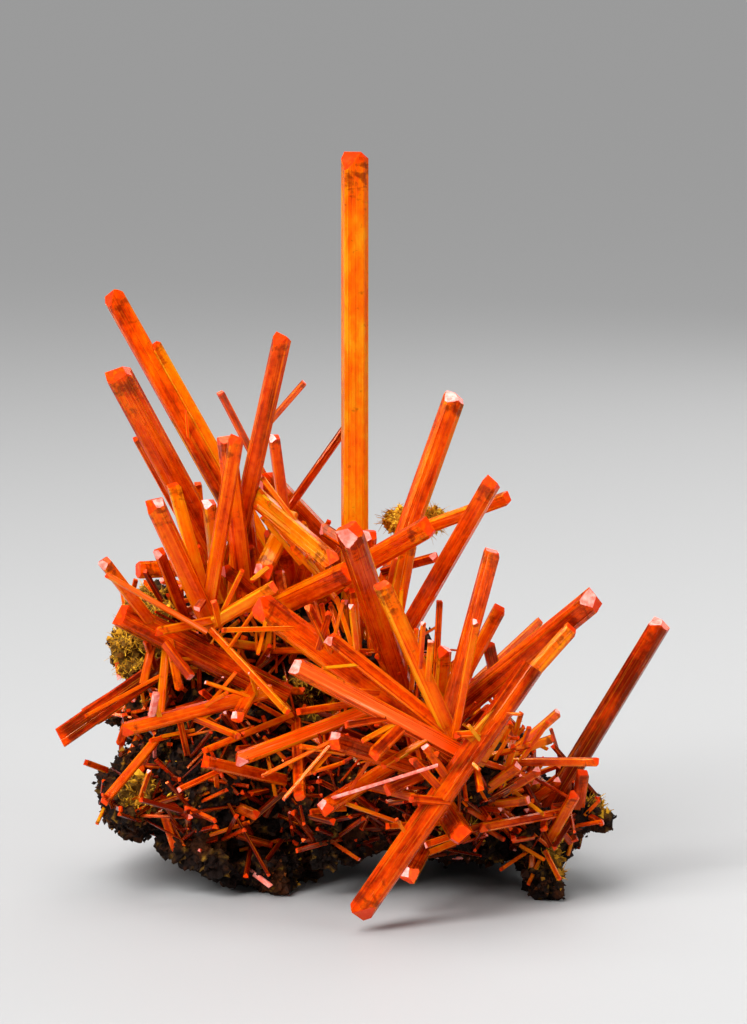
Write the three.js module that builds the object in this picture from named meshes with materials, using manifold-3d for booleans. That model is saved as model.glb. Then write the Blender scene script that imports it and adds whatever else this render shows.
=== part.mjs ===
// A crocoite specimen: a jackstraw of long, lengthwise ribbed, orange-red crystals that spring from a
// lump of dark limonite gossan. Millimetres, +Z up. The front looks along +Y with +X to the right, and
// the origin is on the surface that the gossan rests on, under the middle of the specimen's box.
//
// Crystals that have grown through each other are one solid. The others stand on the gossan, or lie
// against each other, with a gap of about 0.3 mm.
import * as THREE from 'three';
import { ConvexGeometry } from 'three/addons/geometries/ConvexGeometry.js';
import { mergeVertices } from 'three/addons/utils/BufferGeometryUtils.js';
import Module from 'manifold-3d';

const wasm = await Module();
wasm.setup();

// Places are given as they are seen from the front: across and up on an upright plane through the
// specimen, in mm, and back, the depth behind that plane (negative is nearer the viewer). The viewer
// stands at this distance and looks down a little, at this place on the plane.
const VIEW_TILT = THREE.MathUtils.degToRad(8);
const VIEW_DISTANCE = 680;
const VIEW_CENTRE = { across: 5.4, up: 61 };

const CLEARANCE = 0.45; // growth of the gossan that trims the crystals' roots
const MERGE_DISTANCE = 1e-4; // corners closer than this are one corner

// The small bevel faces on a crystal's long edges, as shares of its thickness. One of them reaches
// further over the wide face, and further down the narrow one, than the rest.
const BEVEL = { plain: 0.16, overWide: 0.26, overNarrow: 0.19 };

// Lengthwise ribs on the wide faces: their number, their step as a share of the crystal's width, and
// the width from which a crystal has them.
const RIBS = { perFace: 2, step: 0.035, fromWidth: 3 };

const COLOURS = {
  crocoite: { color: 0xe04a0c, roughness: 0.25, metalness: 0 },
  gossan: { color: 0x2e1c10, roughness: 0.9, metalness: 0 },
  limonite: { color: 0x9a6a1e, roughness: 0.95, metalness: 0 },
};

const forward = new THREE.Vector3(0, Math.cos(VIEW_TILT), -Math.sin(VIEW_TILT));
const upward = new THREE.Vector3(0, Math.sin(VIEW_TILT), Math.cos(VIEW_TILT));
const aim = new THREE.Vector3(VIEW_CENTRE.across, 0, VIEW_CENTRE.up / Math.cos(VIEW_TILT));
const eye = aim.clone().addScaledVector(forward, -VIEW_DISTANCE);

// The point at a depth that a viewer in front sees at a place on the upright plane.
function place([across, up, back]) {
  const ray = aim.clone().sub(eye);
  ray.x += across - VIEW_CENTRE.across;
  ray.addScaledVector(upward, up - VIEW_CENTRE.up);
  return eye.clone().addScaledVector(ray, (back - eye.y) / ray.y);
}

const FLOOR = place([-12.5, 0, 0]).z; // the surface that the feet of the gossan stand on

// ---------------------------------------------------------------- crystal ends

// Each end is a list of facets: the turn round the crystal's length, the slope of the facet from
// square across it, and how far off the middle it starts, as a share of the width.
const WEDGE = [[80, 36, 0], [260, 44, 0.05], [170, 62, 0.3]];
const SLANT = [[215, 38, 0], [35, 56, 0.12]];
const FLAT = [[200, 10, 0]];

function crystal(tip, root, width, flat, roll, end) {
  return { tip, root, width, flat, roll, end };
}

// The crystals by piece: the tip and the root of each crystal (across, up, back), its width, its
// thickness as a share of the width, its roll about its length in degrees and the shape of its end.
const CRYSTALS = {
  // the crown
  tall_central_crystal: [
    crystal([2.4, 118.4, 21], [2.4, 45.0, 18], 4.1, 0.82, 14, SLANT),
  ],
  upper_left_blade: [
    crystal([-36.5, 96.0, 36], [-10.9, 50.4, 24], 3.4, 0.7, 12, SLANT),
    crystal([-29.6, 88.0, 33.6], [-9.8, 52.8, 24.6], 1.8, 0.8, 12, SLANT),
    crystal([-26.7, 76.6, 30.6], [-12.5, 51.2, 24.3], 1.5, 0.8, 12, SLANT),
  ],
  second_left_blade: [
    crystal([-32.5, 73.1, 12.2], [-17.9, 46.7, 22.7], 1.5, 0.8, -10, WEDGE),
    crystal([-35.8, 83.8, 8], [-15.5, 46.4, 23], 4.1, 0.75, -10, WEDGE),
  ],
  crown_spray: [
    crystal([-9.1, 89.3, 8], [-17.3, 52.3, 15.5], 2.8, 0.85, 14, SLANT),
    crystal([-5.6, 81.8, 17], [-13.3, 73.0, 11], 1.0, 0.8, 20, WEDGE),
    crystal([-1.1, 52.8, 3], [-14.4, 64.2, 14.5], 3.1, 0.6, 20, SLANT),
    crystal([-13.3, 65.0, 13], [-5.8, 56.2, 8.2], 0.8, 0.8, 20, WEDGE),
    crystal([-12.5, 66.6, 13], [-5.9, 57.8, 7.5], 0.8, 0.8, 20, WEDGE),
  ],
  crown_slab: [
    crystal([-12.5, 67.0, 27.5], [1.9, 52.0, 27.5], 3.7, 0.7, -15, SLANT),
    crystal([-19.2, 80.3, 29], [-6.4, 55.7, 27.5], 1.2, 0.8, 20, WEDGE),
  ],
  diagonal_needle: [
    crystal([2.2, 76.3, 24.5], [-9.9, 59.2, 24.7], 1.3, 0.8, 20, WEDGE),
  ],
  block_tipped_crystal: [
    crystal([-18.2, 73.1, 10], [-14.9, 45.0, 10], 2.8, 0.85, 25, WEDGE),
  ],
  slim_upright_crystal: [
    crystal([-10.6, 73.4, 20], [-6.9, 46.6, 24], 1.8, 0.85, 15, WEDGE),
  ],
  short_crown_crystal: [
    crystal([-22.7, 65.8, 21], [-21.1, 46.6, 27], 1.2, 0.85, 10, WEDGE),
  ],
  white_faced_block: [
    crystal([-21.0, 63.0, 12], [-18.9, 46.6, 14.5], 2.1, 0.85, 20, SLANT),
  ],
  bright_stub: [
    crystal([-12.5, 51.0, 6], [-8.0, 60.5, 17.5], 2.8, 0.85, 10, SLANT),
  ],
  crown_backing_pair: [
    crystal([-9.3, 55.7, 14], [-6.9, 45.9, 19], 2.5, 0.85, 15, WEDGE),
    crystal([-4.6, 55.0, 12], [-6.9, 47.2, 17.5], 2.3, 0.85, -15, WEDGE),
  ],
  dim_upright_crystal: [
    crystal([2.1, 48.8, -1], [2.9, 37.8, 4], 1.4, 0.85, 15, WEDGE),
  ],
  // the left side
  left_fan: [
    crystal([-16.5, 73.1, 1], [-21.4, 43.7, 5], 2.3, 0.8, 15, SLANT),
    crystal([-26.7, 65.6, 9], [-21.3, 46.4, 5.5], 2.1, 0.8, 10, WEDGE),
    crystal([-29.9, 62.9, -2], [-21.4, 44.6, 4.5], 2.9, 0.8, -12, WEDGE),
    crystal([-29.4, 41.8, -5], [-20.0, 43.7, 3.5], 1.4, 0.85, 10, SLANT),
    crystal([-10.2, 49.1, 0], [-21.4, 42.6, 3.6], 2.1, 0.8, 15, WEDGE),
    crystal([-15.5, 51.8, 2], [-19.4, 43.7, 3], 0.8, 0.85, 10, WEDGE),
  ],
  left_lean_crystal: [
    crystal([-29.0, 54.9, 2], [-22.9, 39.2, 15], 1.8, 0.85, 10, WEDGE),
  ],
  left_level_crystal: [
    crystal([-32.3, 51.7, 9], [-22.1, 52.2, 15], 2.6, 0.8, 15, FLAT),
  ],
  left_shelf_spray: [
    crystal([-37.9, 53.3, -4], [-27.8, 40.2, 4], 1.9, 0.85, 10, SLANT),
    crystal([-35.4, 45.0, 2], [-8.5, 31.2, 4], 4.2, 0.7, 15, WEDGE),
    crystal([-27.7, 40.5, 3.5], [-28.8, 28.3, -3], 1.3, 0.5, 15, WEDGE),
  ],
  left_bright_lath: [
    crystal([-37.4, 51.0, -6], [-21.3, 41.8, -1.2], 0.9, 0.7, 30, SLANT),
  ],
  left_short_lath: [
    crystal([-29.9, 40.5, 4], [-31.5, 33.4, 1], 1.3, 0.6, 15, WEDGE),
  ],
  left_blade: [
    crystal([-44.8, 24.8, -2], [-27.2, 37.0, 5], 3.2, 0.35, 10, FLAT),
  ],
  left_cross_pair: [
    crystal([-34.7, 26.1, -12], [-10.9, 32.3, -2], 2.2, 0.8, 15, SLANT),
    crystal([-16.5, 28.0, -14], [-13.4, 33.4, 0.8], 1.9, 0.85, 15, SLANT),
  ],
  long_drooping_crystal: [
    crystal([-8.2, 28.8, -12], [-20.6, 42.1, 1.8], 1.1, 0.8, 20, WEDGE),
  ],
  lower_left_crystal: [
    crystal([-37.9, 14.4, -5], [-29.3, 24.6, 2], 1.4, 0.8, 15, WEDGE),
  ],
  small_left_crystal: [
    crystal([-40.8, 21.0, 2], [-37.3, 19.7, 7], 1.0, 0.85, 15, WEDGE),
  ],
  // the middle and the upper right
  cross_bar_crystal: [
    crystal([2.4, 51.8, -4], [-11.5, 45.3, 12], 3.5, 0.8, 12, WEDGE),
  ],
  pink_topped_crystal: [
    crystal([1.4, 58.4, -20], [10.1, 31.8, 4], 3.8, 0.85, 20, WEDGE),
  ],
  pink_topped_stub: [
    crystal([4.8, 57.8, 7.4], [4.2, 50.6, 12], 2.3, 0.85, 10, SLANT),
  ],
  right_reaching_crystal: [
    crystal([14.6, 58.9, -4], [-4.2, 48.0, 14.3], 3.2, 0.8, 12, WEDGE),
  ],
  right_upper_spray: [
    crystal([18.6, 80.0, 24], [5.9, 44.2, 16], 3.4, 0.85, 15, WEDGE),
    crystal([27.2, 63.4, 12], [9.6, 57.0, 17.5], 2.1, 0.85, 15, WEDGE),
    crystal([15.5, 53.8, 8], [7.0, 51.5, 16], 1.5, 0.85, 15, WEDGE),
  ],
  right_slant_crystal: [
    crystal([24.6, 66.1, -6], [8.6, 38.4, 9], 2.7, 0.85, -15, WEDGE),
  ],
  central_spray: [
    crystal([-13.1, 46.4, -9], [19.8, 22.2, -15.5], 4.2, 0.8, 12, SLANT),
    crystal([-1.9, 41.1, -14.6], [17.0, 26.1, -17.7], 2.2, 0.8, 12, SLANT),
    crystal([6.6, 49.8, -19], [18.7, 22.9, -17], 2.6, 0.8, 15, WEDGE),
    crystal([-7.5, 36.6, -26], [19.2, 22.4, -17.8], 2.8, 0.85, 15, WEDGE),
    crystal([24.5, 55.0, -3], [16.3, 24.8, -15.5], 2.5, 0.85, 12, WEDGE),
    crystal([21.9, 43.8, -22], [18.1, 23.5, -17.8], 1.2, 0.8, 15, SLANT),
  ],
  hub_back_spray: [
    crystal([16.8, 39.2, -8], [16.0, 28.3, 2], 2.1, 0.85, 10, SLANT),
    crystal([16.0, 46.9, 5], [15.0, 28.3, -1.5], 1.0, 0.85, 10, WEDGE),
    crystal([25.8, 45.9, -1], [15.7, 27.0, 1], 2.1, 0.8, 10, WEDGE),
    crystal([32.2, 43.7, 12], [15.7, 28.3, 0], 1.3, 0.85, 10, WEDGE),
  ],
  hooked_red_crystal: [
    crystal([23.7, 40.2, 2], [27.8, 21.9, 3], 1.9, 0.85, 10, SLANT),
  ],
  big_right_crystal: [
    crystal([41.1, 47.4, -15.5], [16.0, 27.0, -5], 3.5, 0.85, 15, WEDGE),
  ],
  small_red_stub: [
    crystal([-0.3, 34.6, -9], [0.6, 39.2, 6], 1.4, 0.85, 15, WEDGE),
  ],
  mid_level_lath: [
    crystal([-6.9, 29.0, -15], [7.8, 31.2, 1.4], 1.1, 0.85, 15, WEDGE),
  ],
  // the lower right
  long_front_crystal: [
    crystal([2.9, -3.5, -27], [30.7, 36.3, -18.4], 3.7, 0.85, 12, SLANT),
    crystal([37.3, 42.6, -16.4], [20.8, 24.2, -21.6], 2.2, 0.85, 12, WEDGE),
  ],
  far_right_crystal: [
    crystal([51.7, 43.7, 10], [32.3, 11.8, 0], 3.2, 0.85, -12, WEDGE),
  ],
  right_low_spray: [
    crystal([35.2, 29.1, -5], [22.1, 17.8, -12.5], 1.4, 0.85, 12, SLANT),
    crystal([34.2, 24.8, -8.5], [20.5, 20.0, -11], 1.3, 0.85, 12, WEDGE),
    crystal([41.4, 21.0, -12], [25.0, 21.1, -9.2], 1.3, 0.85, 12, SLANT),
  ],
  right_base_pair: [
    crystal([22.6, 10.4, -18], [36.5, 13.1, -4], 1.4, 0.85, 12, SLANT),
    crystal([37.8, 16.0, -9], [33.6, 8.8, -4], 1.7, 0.85, 12, SLANT),
  ],
  right_red_stub: [
    crystal([39.0, 19.7, -3], [38.1, 13.6, -2], 1.9, 0.85, 12, WEDGE),
  ],
  stout_front_crystal: [
    crystal([19.7, 8.8, -24], [14.4, 17.3, -10], 3.4, 0.8, 20, WEDGE),
  ],
  // low on the front
  lower_front_crystal: [
    crystal([-2.9, 13.4, -19], [8.3, 20.3, -8], 2.4, 0.85, 15, WEDGE),
  ],
  crossing_red_crystal: [
    crystal([-1.6, 24.6, -20], [17.6, 18.4, -10], 2.8, 0.8, 12, WEDGE),
  ],
  small_cross_crystal: [
    crystal([14.2, 14.9, -16], [4.2, 17.3, -8], 1.4, 0.85, 12, WEDGE),
  ],
  lower_pin_crystal: [
    crystal([7.4, 10.7, -18], [19.2, 11.5, -4], 1.0, 0.85, 12, WEDGE),
  ],
  hanging_stub: [
    crystal([10.9, 2.6, -17], [14.1, 8.5, -5], 2.7, 0.85, 12, SLANT),
  ],
  hanging_crystal: [
    crystal([-6.4, 15.4, -18], [-6.9, 27.4, 4], 1.7, 0.85, 15, FLAT),
  ],
  stepped_low_crystal: [
    crystal([-16.5, 21.3, -18], [6.9, 30.2, 4], 2.2, 0.8, 12, SLANT),
  ],
  low_left_stub: [
    crystal([-21.9, 21.1, -18], [-9.0, 18.1, -4], 1.9, 0.85, 15, WEDGE),
  ],
  low_left_lath: [
    crystal([-21.9, 22.7, -14], [-7.7, 28.5, 3], 1.0, 0.85, 15, WEDGE),
  ],
  low_left_needle: [
    crystal([-25.9, 16.5, -17], [-16.6, 20.8, -4], 0.9, 0.85, 15, WEDGE),
  ],
  // the back
  back_upper_spray: [
    crystal([-14.4, 59.7, 54], [-9.0, 44.3, 37], 2.6, 0.85, 15, WEDGE),
    crystal([-3.5, 54.6, 56], [-8.0, 44.0, 38], 2.1, 0.85, 12, SLANT),
    crystal([-18.9, 48.5, 57], [-9.9, 44.2, 38], 1.7, 0.85, 12, WEDGE),
  ],
  back_left_crystal: [
    crystal([-29.1, 40.5, 50], [-21.1, 31.8, 33], 2.4, 0.85, 15, WEDGE),
  ],
  back_low_spray: [
    crystal([-21.4, 28.3, 56], [-11.8, 24.2, 38], 2.6, 0.85, 12, SLANT),
    crystal([-12.5, 20.0, 58], [-17.6, 26.7, 48.8], 1.6, 0.85, 12, WEDGE),
  ],
  back_middle_crystal: [
    crystal([0.8, 36.6, 57], [-2.9, 28.3, 37], 2.9, 0.85, 20, WEDGE),
  ],
  back_right_spray: [
    crystal([12.5, 29.6, 52], [6.7, 22.9, 35], 2.4, 0.85, 12, WEDGE),
    crystal([4.2, 29.9, 56], [10.2, 26.9, 45.2], 1.5, 0.85, 12, SLANT),
  ],
};

// The gossan: broken blocks, given by their middle (across, up, back) and their half sizes (x, z, y).
const GOSSAN_BLOCKS = {
  left_mass: { at: [-18.4, 20, 17], half: [16.8, 15, 27], corners: 40 },
  middle_mass: { at: [1.6, 18.8, 17], half: [17.6, 14.2, 27], corners: 40 },
  right_mass: { at: [20, 14.4, 16], half: [14.6, 10.2, 24], corners: 34 },
  right_lobe: { at: [32.6, 9.8, 7], half: [6.2, 8, 14], corners: 26 },
  right_rim: { at: [39.2, 14.2, 6], half: [3.2, 2.7, 8], corners: 16 },
  upper_left: { at: [-14.4, 38.4, 26], half: [15.5, 13, 17], corners: 34 },
  upper_middle: { at: [-1.6, 40.5, 26], half: [11.5, 11, 15], corners: 28 },
  back_mass: { at: [-8, 32, 31], half: [19, 15, 13], corners: 34 },
  saddle: { at: [7.2, 36, 15], half: [7.4, 8.4, 14], corners: 24 },
  upper_left_knob: { at: [-30.4, 41, 17], half: [6.6, 8.6, 13], corners: 24 },
  left_waist: { at: [-28, 29, 20], half: [8, 8, 14], corners: 24 },
  lower_left_knob: { at: [-32.4, 16.6, 12], half: [6.8, 7, 15], corners: 24 },
  lower_left_wedge: { at: [-22, 12.4, 14], half: [9.5, 5.6, 16], corners: 24 },
  spray_knob: { at: [19.4, 20.6, -6], half: [8.2, 5.4, 13], corners: 24 },
  right_saddle: { at: [19.5, 23, 12], half: [11.5, 6, 16], corners: 24 },
  front_left_foot: { at: [-11.6, 4.6, 6], half: [6.2, 6, 11], corners: 22 },
  front_right_foot: { at: [32.8, 2.8, -1], half: [3.9, 5.2, 8], corners: 18 },
  rear_left_foot: { at: [-15, 11, 34], half: [10, 9, 10], corners: 20 },
  rear_right_foot: { at: [24, 11, 31], half: [10, 9, 11], corners: 20 },
};

// A block's corners lie at random between these shares of its half sizes.
const CORNER_REACH = [0.84, 1.08];

// Crags stand out all over the blocks: their number on each, their half height and how their other
// half sizes compare with it. None is lower over the floor than `lowest`, so that only feet reach it.
const CRAGS = {
  perBlock: 6,
  corners: 11,
  halfHeight: [1.5, 4],
  wide: [0.7, 1.3],
  deep: [0.6, 1.1],
  lowest: 11,
};
const GOSSAN_SEED = 7;

// Pits are sunk where the gossan is hollow.
const PITS = [
  { at: [-0.8, 45, 10], half: [3.6, 3, 6], corners: 12 },
  { at: [-6, 38, 0], half: [5.6, 3, 7], corners: 12 },
  { at: [-14, 43, 9], half: [3.2, 2.6, 5], corners: 12 },
  { at: [-26, 47.5, 13], half: [2.6, 3, 6], corners: 12 },
  { at: [-16.5, 15, -11], half: [4, 3.4, 5], corners: 12 },
  { at: [-4, 10, -9], half: [4.4, 2.6, 5], corners: 12 },
  { at: [11, 11.5, -9], half: [4, 2.6, 5], corners: 12 },
];

// A tuft of limonite that lies against a crystal of the right upper spray.
const TUFT = {
  at: [12.2, 59.6, 24.4],
  half: [5.4, 1.7, 3.2],
  corners: 26,
  carrier: 'right_upper_spray',
};
const TUFT_SEED = 3;

// ---------------------------------------------------------------- solids

function solidOf(geometry) {
  geometry.deleteAttribute('normal');
  geometry.deleteAttribute('uv');
  const merged = mergeVertices(geometry, MERGE_DISTANCE);
  const vertProperties = new Float32Array(merged.attributes.position.array);
  const triVerts = new Uint32Array(merged.index.array);
  return new wasm.Manifold(new wasm.Mesh({ numProp: 3, vertProperties, triVerts }));
}

function geometryOf(solid) {
  const mesh = solid.getMesh();
  const geometry = new THREE.BufferGeometry();
  geometry.setAttribute('position', new THREE.BufferAttribute(mesh.vertProperties, 3));
  geometry.setIndex(new THREE.BufferAttribute(mesh.triVerts, 1));
  geometry.computeVertexNormals();
  return geometry;
}

function joined(solids) {
  return solids.reduce((whole, solid) => whole.add(solid));
}

// What is left of a trimmed solid is its largest piece.
function largestPiece(solid) {
  const pieces = solid.decompose();
  return pieces.reduce((best, piece) => (piece.volume() > best.volume() ? piece : best));
}

// ---------------------------------------------------------------- crystals

// The corners of the ribs along one side of the section, stepping in and out.
function ribCorners(start, end, step) {
  const points = [];
  const along = end.clone().sub(start);
  const inward = new THREE.Vector2(-along.y, along.x).normalize();
  for (let corner = 1; corner < 2 * RIBS.perFace; corner += 1) {
    const share = corner / (2 * RIBS.perFace);
    const depth = corner % 2 === 1 ? step : 0;
    points.push(start.clone().addScaledVector(along, share).addScaledVector(inward, depth));
  }
  return points;
}

// Half of a nearly square section with bevelled edges, from one wide face to the other.
function halfSection(width, thickness) {
  const x = width / 2;
  const y = thickness / 2;
  const plain = BEVEL.plain * thickness;
  const wideStart = new THREE.Vector2(-x + plain, -y);
  const wideEnd = new THREE.Vector2(x - BEVEL.overWide * thickness, -y);
  const ribs = width >= RIBS.fromWidth ? ribCorners(wideStart, wideEnd, RIBS.step * width) : [];
  const narrowStart = new THREE.Vector2(x, -y + BEVEL.overNarrow * thickness);
  return [wideStart, ...ribs, wideEnd, narrowStart, new THREE.Vector2(x, y - plain)];
}

// The two halves of a section are alike, half a turn apart.
function crystalSection(width, thickness) {
  const half = halfSection(width, thickness);
  const other = half.map((point) => point.clone().negate());
  return new THREE.Shape([...half, ...other]);
}

// Cuts the far end, at the height `length`, by the facets of the crystal's end.
function withEnd(prism, end, width, length) {
  return end.reduce((solid, [turn, slope, offMiddle]) => {
    const angle = THREE.MathUtils.degToRad(turn);
    const lean = THREE.MathUtils.degToRad(slope);
    const sideways = new THREE.Vector3(Math.cos(angle), Math.sin(angle), 0);
    const outward = sideways.clone().multiplyScalar(Math.sin(lean)).setZ(Math.cos(lean));
    const start = sideways.multiplyScalar(offMiddle * width).setZ(length);
    return solid.trimByPlane(outward.clone().negate().toArray(), -outward.dot(start));
  }, prism);
}

// The turn and shift that lay a crystal, grown along +Z from its root, between its two places.
function crystalPose(root, tip, roll) {
  const axis = tip.clone().sub(root).normalize();
  const across = new THREE.Vector3().crossVectors(axis, forward).normalize();
  const away = new THREE.Vector3().crossVectors(axis, across).normalize();
  const pose = new THREE.Matrix4().makeBasis(across, away, axis).setPosition(root);
  return pose.multiply(new THREE.Matrix4().makeRotationZ(THREE.MathUtils.degToRad(roll)));
}

function crystalSolid({ tip, root, width, flat, roll, end }) {
  const from = place(root);
  const to = place(tip);
  const length = from.distanceTo(to);
  const section = crystalSection(width, width * flat);
  const prism = solidOf(new THREE.ExtrudeGeometry(section, { depth: length + width, bevelEnabled: false }));
  return withEnd(prism, end, width, length).transform(crystalPose(from, to, roll).elements);
}

// ---------------------------------------------------------------- gossan

// A repeatable row of numbers from 0 to 1, by the Numerical Recipes generator.
function seededNumbers(seed) {
  const factor = 1664525;
  const step = 1013904223;
  const range = 2 ** 32;
  let state = seed;
  return () => {
    state = (state * factor + step) % range;
    return state / range;
  };
}

function between([least, most], share) {
  return least + (most - least) * share;
}

// A broken block: the hull of corners spread evenly over an ellipsoid by the golden angle, some of
// them set back.
function brokenBlock(middle, radii, corners, next) {
  const turn = Math.PI * (3 - Math.sqrt(5));
  const points = [];
  for (let index = 0; index < corners; index += 1) {
    const height = 1 - (2 * index + 1) / corners;
    const ring = Math.sqrt(1 - height * height);
    const angle = index * turn + next();
    const corner = new THREE.Vector3(ring * Math.cos(angle), ring * Math.sin(angle), height);
    const reach = between(CORNER_REACH, next());
    points.push(corner.multiplyScalar(reach).multiply(radii).add(middle));
  }
  return solidOf(new ConvexGeometry(points));
}

function radiiOf([halfX, halfZ, halfY], growth) {
  return new THREE.Vector3(halfX + growth, halfY + growth, halfZ + growth);
}

function blockSolid({ at, half, corners }, growth, next) {
  return brokenBlock(place(at), radiiOf(half, growth), corners, next);
}

// Small crags at random places on a block's skin, none so low that it reaches the floor.
function cragSolids({ at, half }, growth, next) {
  const crags = [];
  for (let index = 0; index < CRAGS.perBlock; index += 1) {
    const direction = new THREE.Vector3(next() - 0.5, next() - 0.5, next() - 0.5).normalize();
    const middle = direction.multiply(radiiOf(half, -1)).add(place(at));
    const size = between(CRAGS.halfHeight, next());
    const radii = new THREE.Vector3(between(CRAGS.wide, next()), 1, between(CRAGS.deep, next()));
    radii.multiplyScalar(size).addScalar(growth);
    middle.z = Math.max(middle.z, FLOOR + CRAGS.lowest);
    crags.push(brokenBlock(middle, radii, CRAGS.corners, next));
  }
  return crags;
}

// The whole lump, grown by `growth` on every side, with its feet cut flat on the floor.
function gossanSolid(growth) {
  const next = seededNumbers(GOSSAN_SEED);
  const blocks = Object.values(GOSSAN_BLOCKS);
  const masses = blocks.map((block) => blockSolid(block, growth, next));
  const crags = blocks.flatMap((block) => cragSolids(block, growth, next));
  const pits = PITS.map((pit) => blockSolid(pit, -growth, next));
  const rock = joined([...masses, ...crags]).subtract(joined(pits));
  return largestPiece(rock.trimByPlane([0, 0, 1], FLOOR));
}

// The tuft is cut back from its carrier, so that it lies against it.
function tuftSolid() {
  const tuft = blockSolid(TUFT, 0, seededNumbers(TUFT_SEED));
  const wider = CRYSTALS[TUFT.carrier].map((one) => crystalSolid({ ...one, width: one.width + CLEARANCE }));
  return largestPiece(tuft.subtract(joined(wider)));
}

// ---------------------------------------------------------------- specimen

function mesh(name, solid, look) {
  const piece = new THREE.Mesh(geometryOf(solid), new THREE.MeshStandardMaterial(look));
  piece.name = name;
  return piece;
}

function buildSpecimen() {
  const specimen = new THREE.Group();
  const gossan = gossanSolid(0);
  const keepOut = gossanSolid(CLEARANCE);
  specimen.add(mesh('gossan_matrix', gossan, COLOURS.gossan));
  for (const [name, crystals] of Object.entries(CRYSTALS)) {
    const grown = joined(crystals.map(crystalSolid));
    specimen.add(mesh(name, largestPiece(grown.subtract(keepOut)), COLOURS.crocoite));
  }
  specimen.add(mesh('limonite_tuft', tuftSolid(), COLOURS.limonite));
  const box = new THREE.Box3().setFromObject(specimen);
  const middle = box.getCenter(new THREE.Vector3());
  specimen.position.set(-middle.x, -middle.y, -box.min.z);
  return specimen;
}

export default buildSpecimen();
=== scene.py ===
"""The looks of a crocoite specimen: striated, translucent orange-red crystals on a dark gossan.

The crystals are built again from the places and sizes of their solids, with their striations, growth
steps and end facets. The gossan is its solid, made rough and crumbly. Small crystals grow on both, and
crumbs and ochre fibres on the gossan. Sizes are in mm until a piece is made, which is in metres, as are
the sizes in the materials, the floor and the lights.
"""
import itertools
import math
import random

import bmesh
import bpy
from mathutils import Matrix, Vector, noise
from mathutils.bvhtree import BVHTree


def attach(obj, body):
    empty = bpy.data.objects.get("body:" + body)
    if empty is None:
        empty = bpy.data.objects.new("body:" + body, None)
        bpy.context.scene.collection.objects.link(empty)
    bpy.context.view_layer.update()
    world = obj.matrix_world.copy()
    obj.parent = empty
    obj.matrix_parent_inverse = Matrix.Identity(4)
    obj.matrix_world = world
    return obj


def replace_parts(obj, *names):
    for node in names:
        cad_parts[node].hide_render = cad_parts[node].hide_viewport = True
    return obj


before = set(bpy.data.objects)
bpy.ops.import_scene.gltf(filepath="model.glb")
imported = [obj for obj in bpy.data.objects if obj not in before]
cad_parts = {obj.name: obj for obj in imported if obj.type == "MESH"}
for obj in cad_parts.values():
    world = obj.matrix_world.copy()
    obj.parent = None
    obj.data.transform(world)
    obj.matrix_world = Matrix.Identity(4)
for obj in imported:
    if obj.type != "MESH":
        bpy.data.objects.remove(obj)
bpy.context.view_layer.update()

# ---- places

MM = 0.001
VIEW_TILT = math.radians(8)
VIEW_DISTANCE = 680
VIEW_CENTRE = (5.4, 61)
VIEW_HEIGHT = 163.84  # mm of the upright plane that fill the picture's height
SHIFT = Vector((-3.868, -14.855, 0.787))  # from the upright plane's own frame to the row frame

FORWARD = Vector((0, math.cos(VIEW_TILT), -math.sin(VIEW_TILT)))
UPWARD = Vector((0, math.sin(VIEW_TILT), math.cos(VIEW_TILT)))
AIM = Vector((VIEW_CENTRE[0], 0, VIEW_CENTRE[1] / math.cos(VIEW_TILT))) + SHIFT
EYE = AIM - FORWARD * VIEW_DISTANCE


def sight(across, up):
    """The direction in which a viewer in front sees a place on the upright plane."""
    ray = AIM - EYE
    ray.x += across - VIEW_CENTRE[0]
    return ray + UPWARD * (up - VIEW_CENTRE[1])


def place(across, up, back):
    """The point at a depth that a viewer in front sees at a place on the upright plane."""
    ray = sight(across, up)
    return EYE + ray * ((back + SHIFT.y - EYE.y) / ray.y)


# ---- crystals: places and sizes

# Each end is a list of facets: the turn round the crystal's length, the slope of the facet from
# square across it, and how far off the middle it starts, as a share of the width.
WEDGE = [(80, 36, 0), (260, 44, 0.05), (170, 62, 0.3)]
SLANT = [(215, 38, 0), (35, 56, 0.12)]
FLAT = [(200, 10, 0)]
POINTED = [(60, 50, 0.02), (245, 18, 0), (130, 38, -0.02)]

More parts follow.
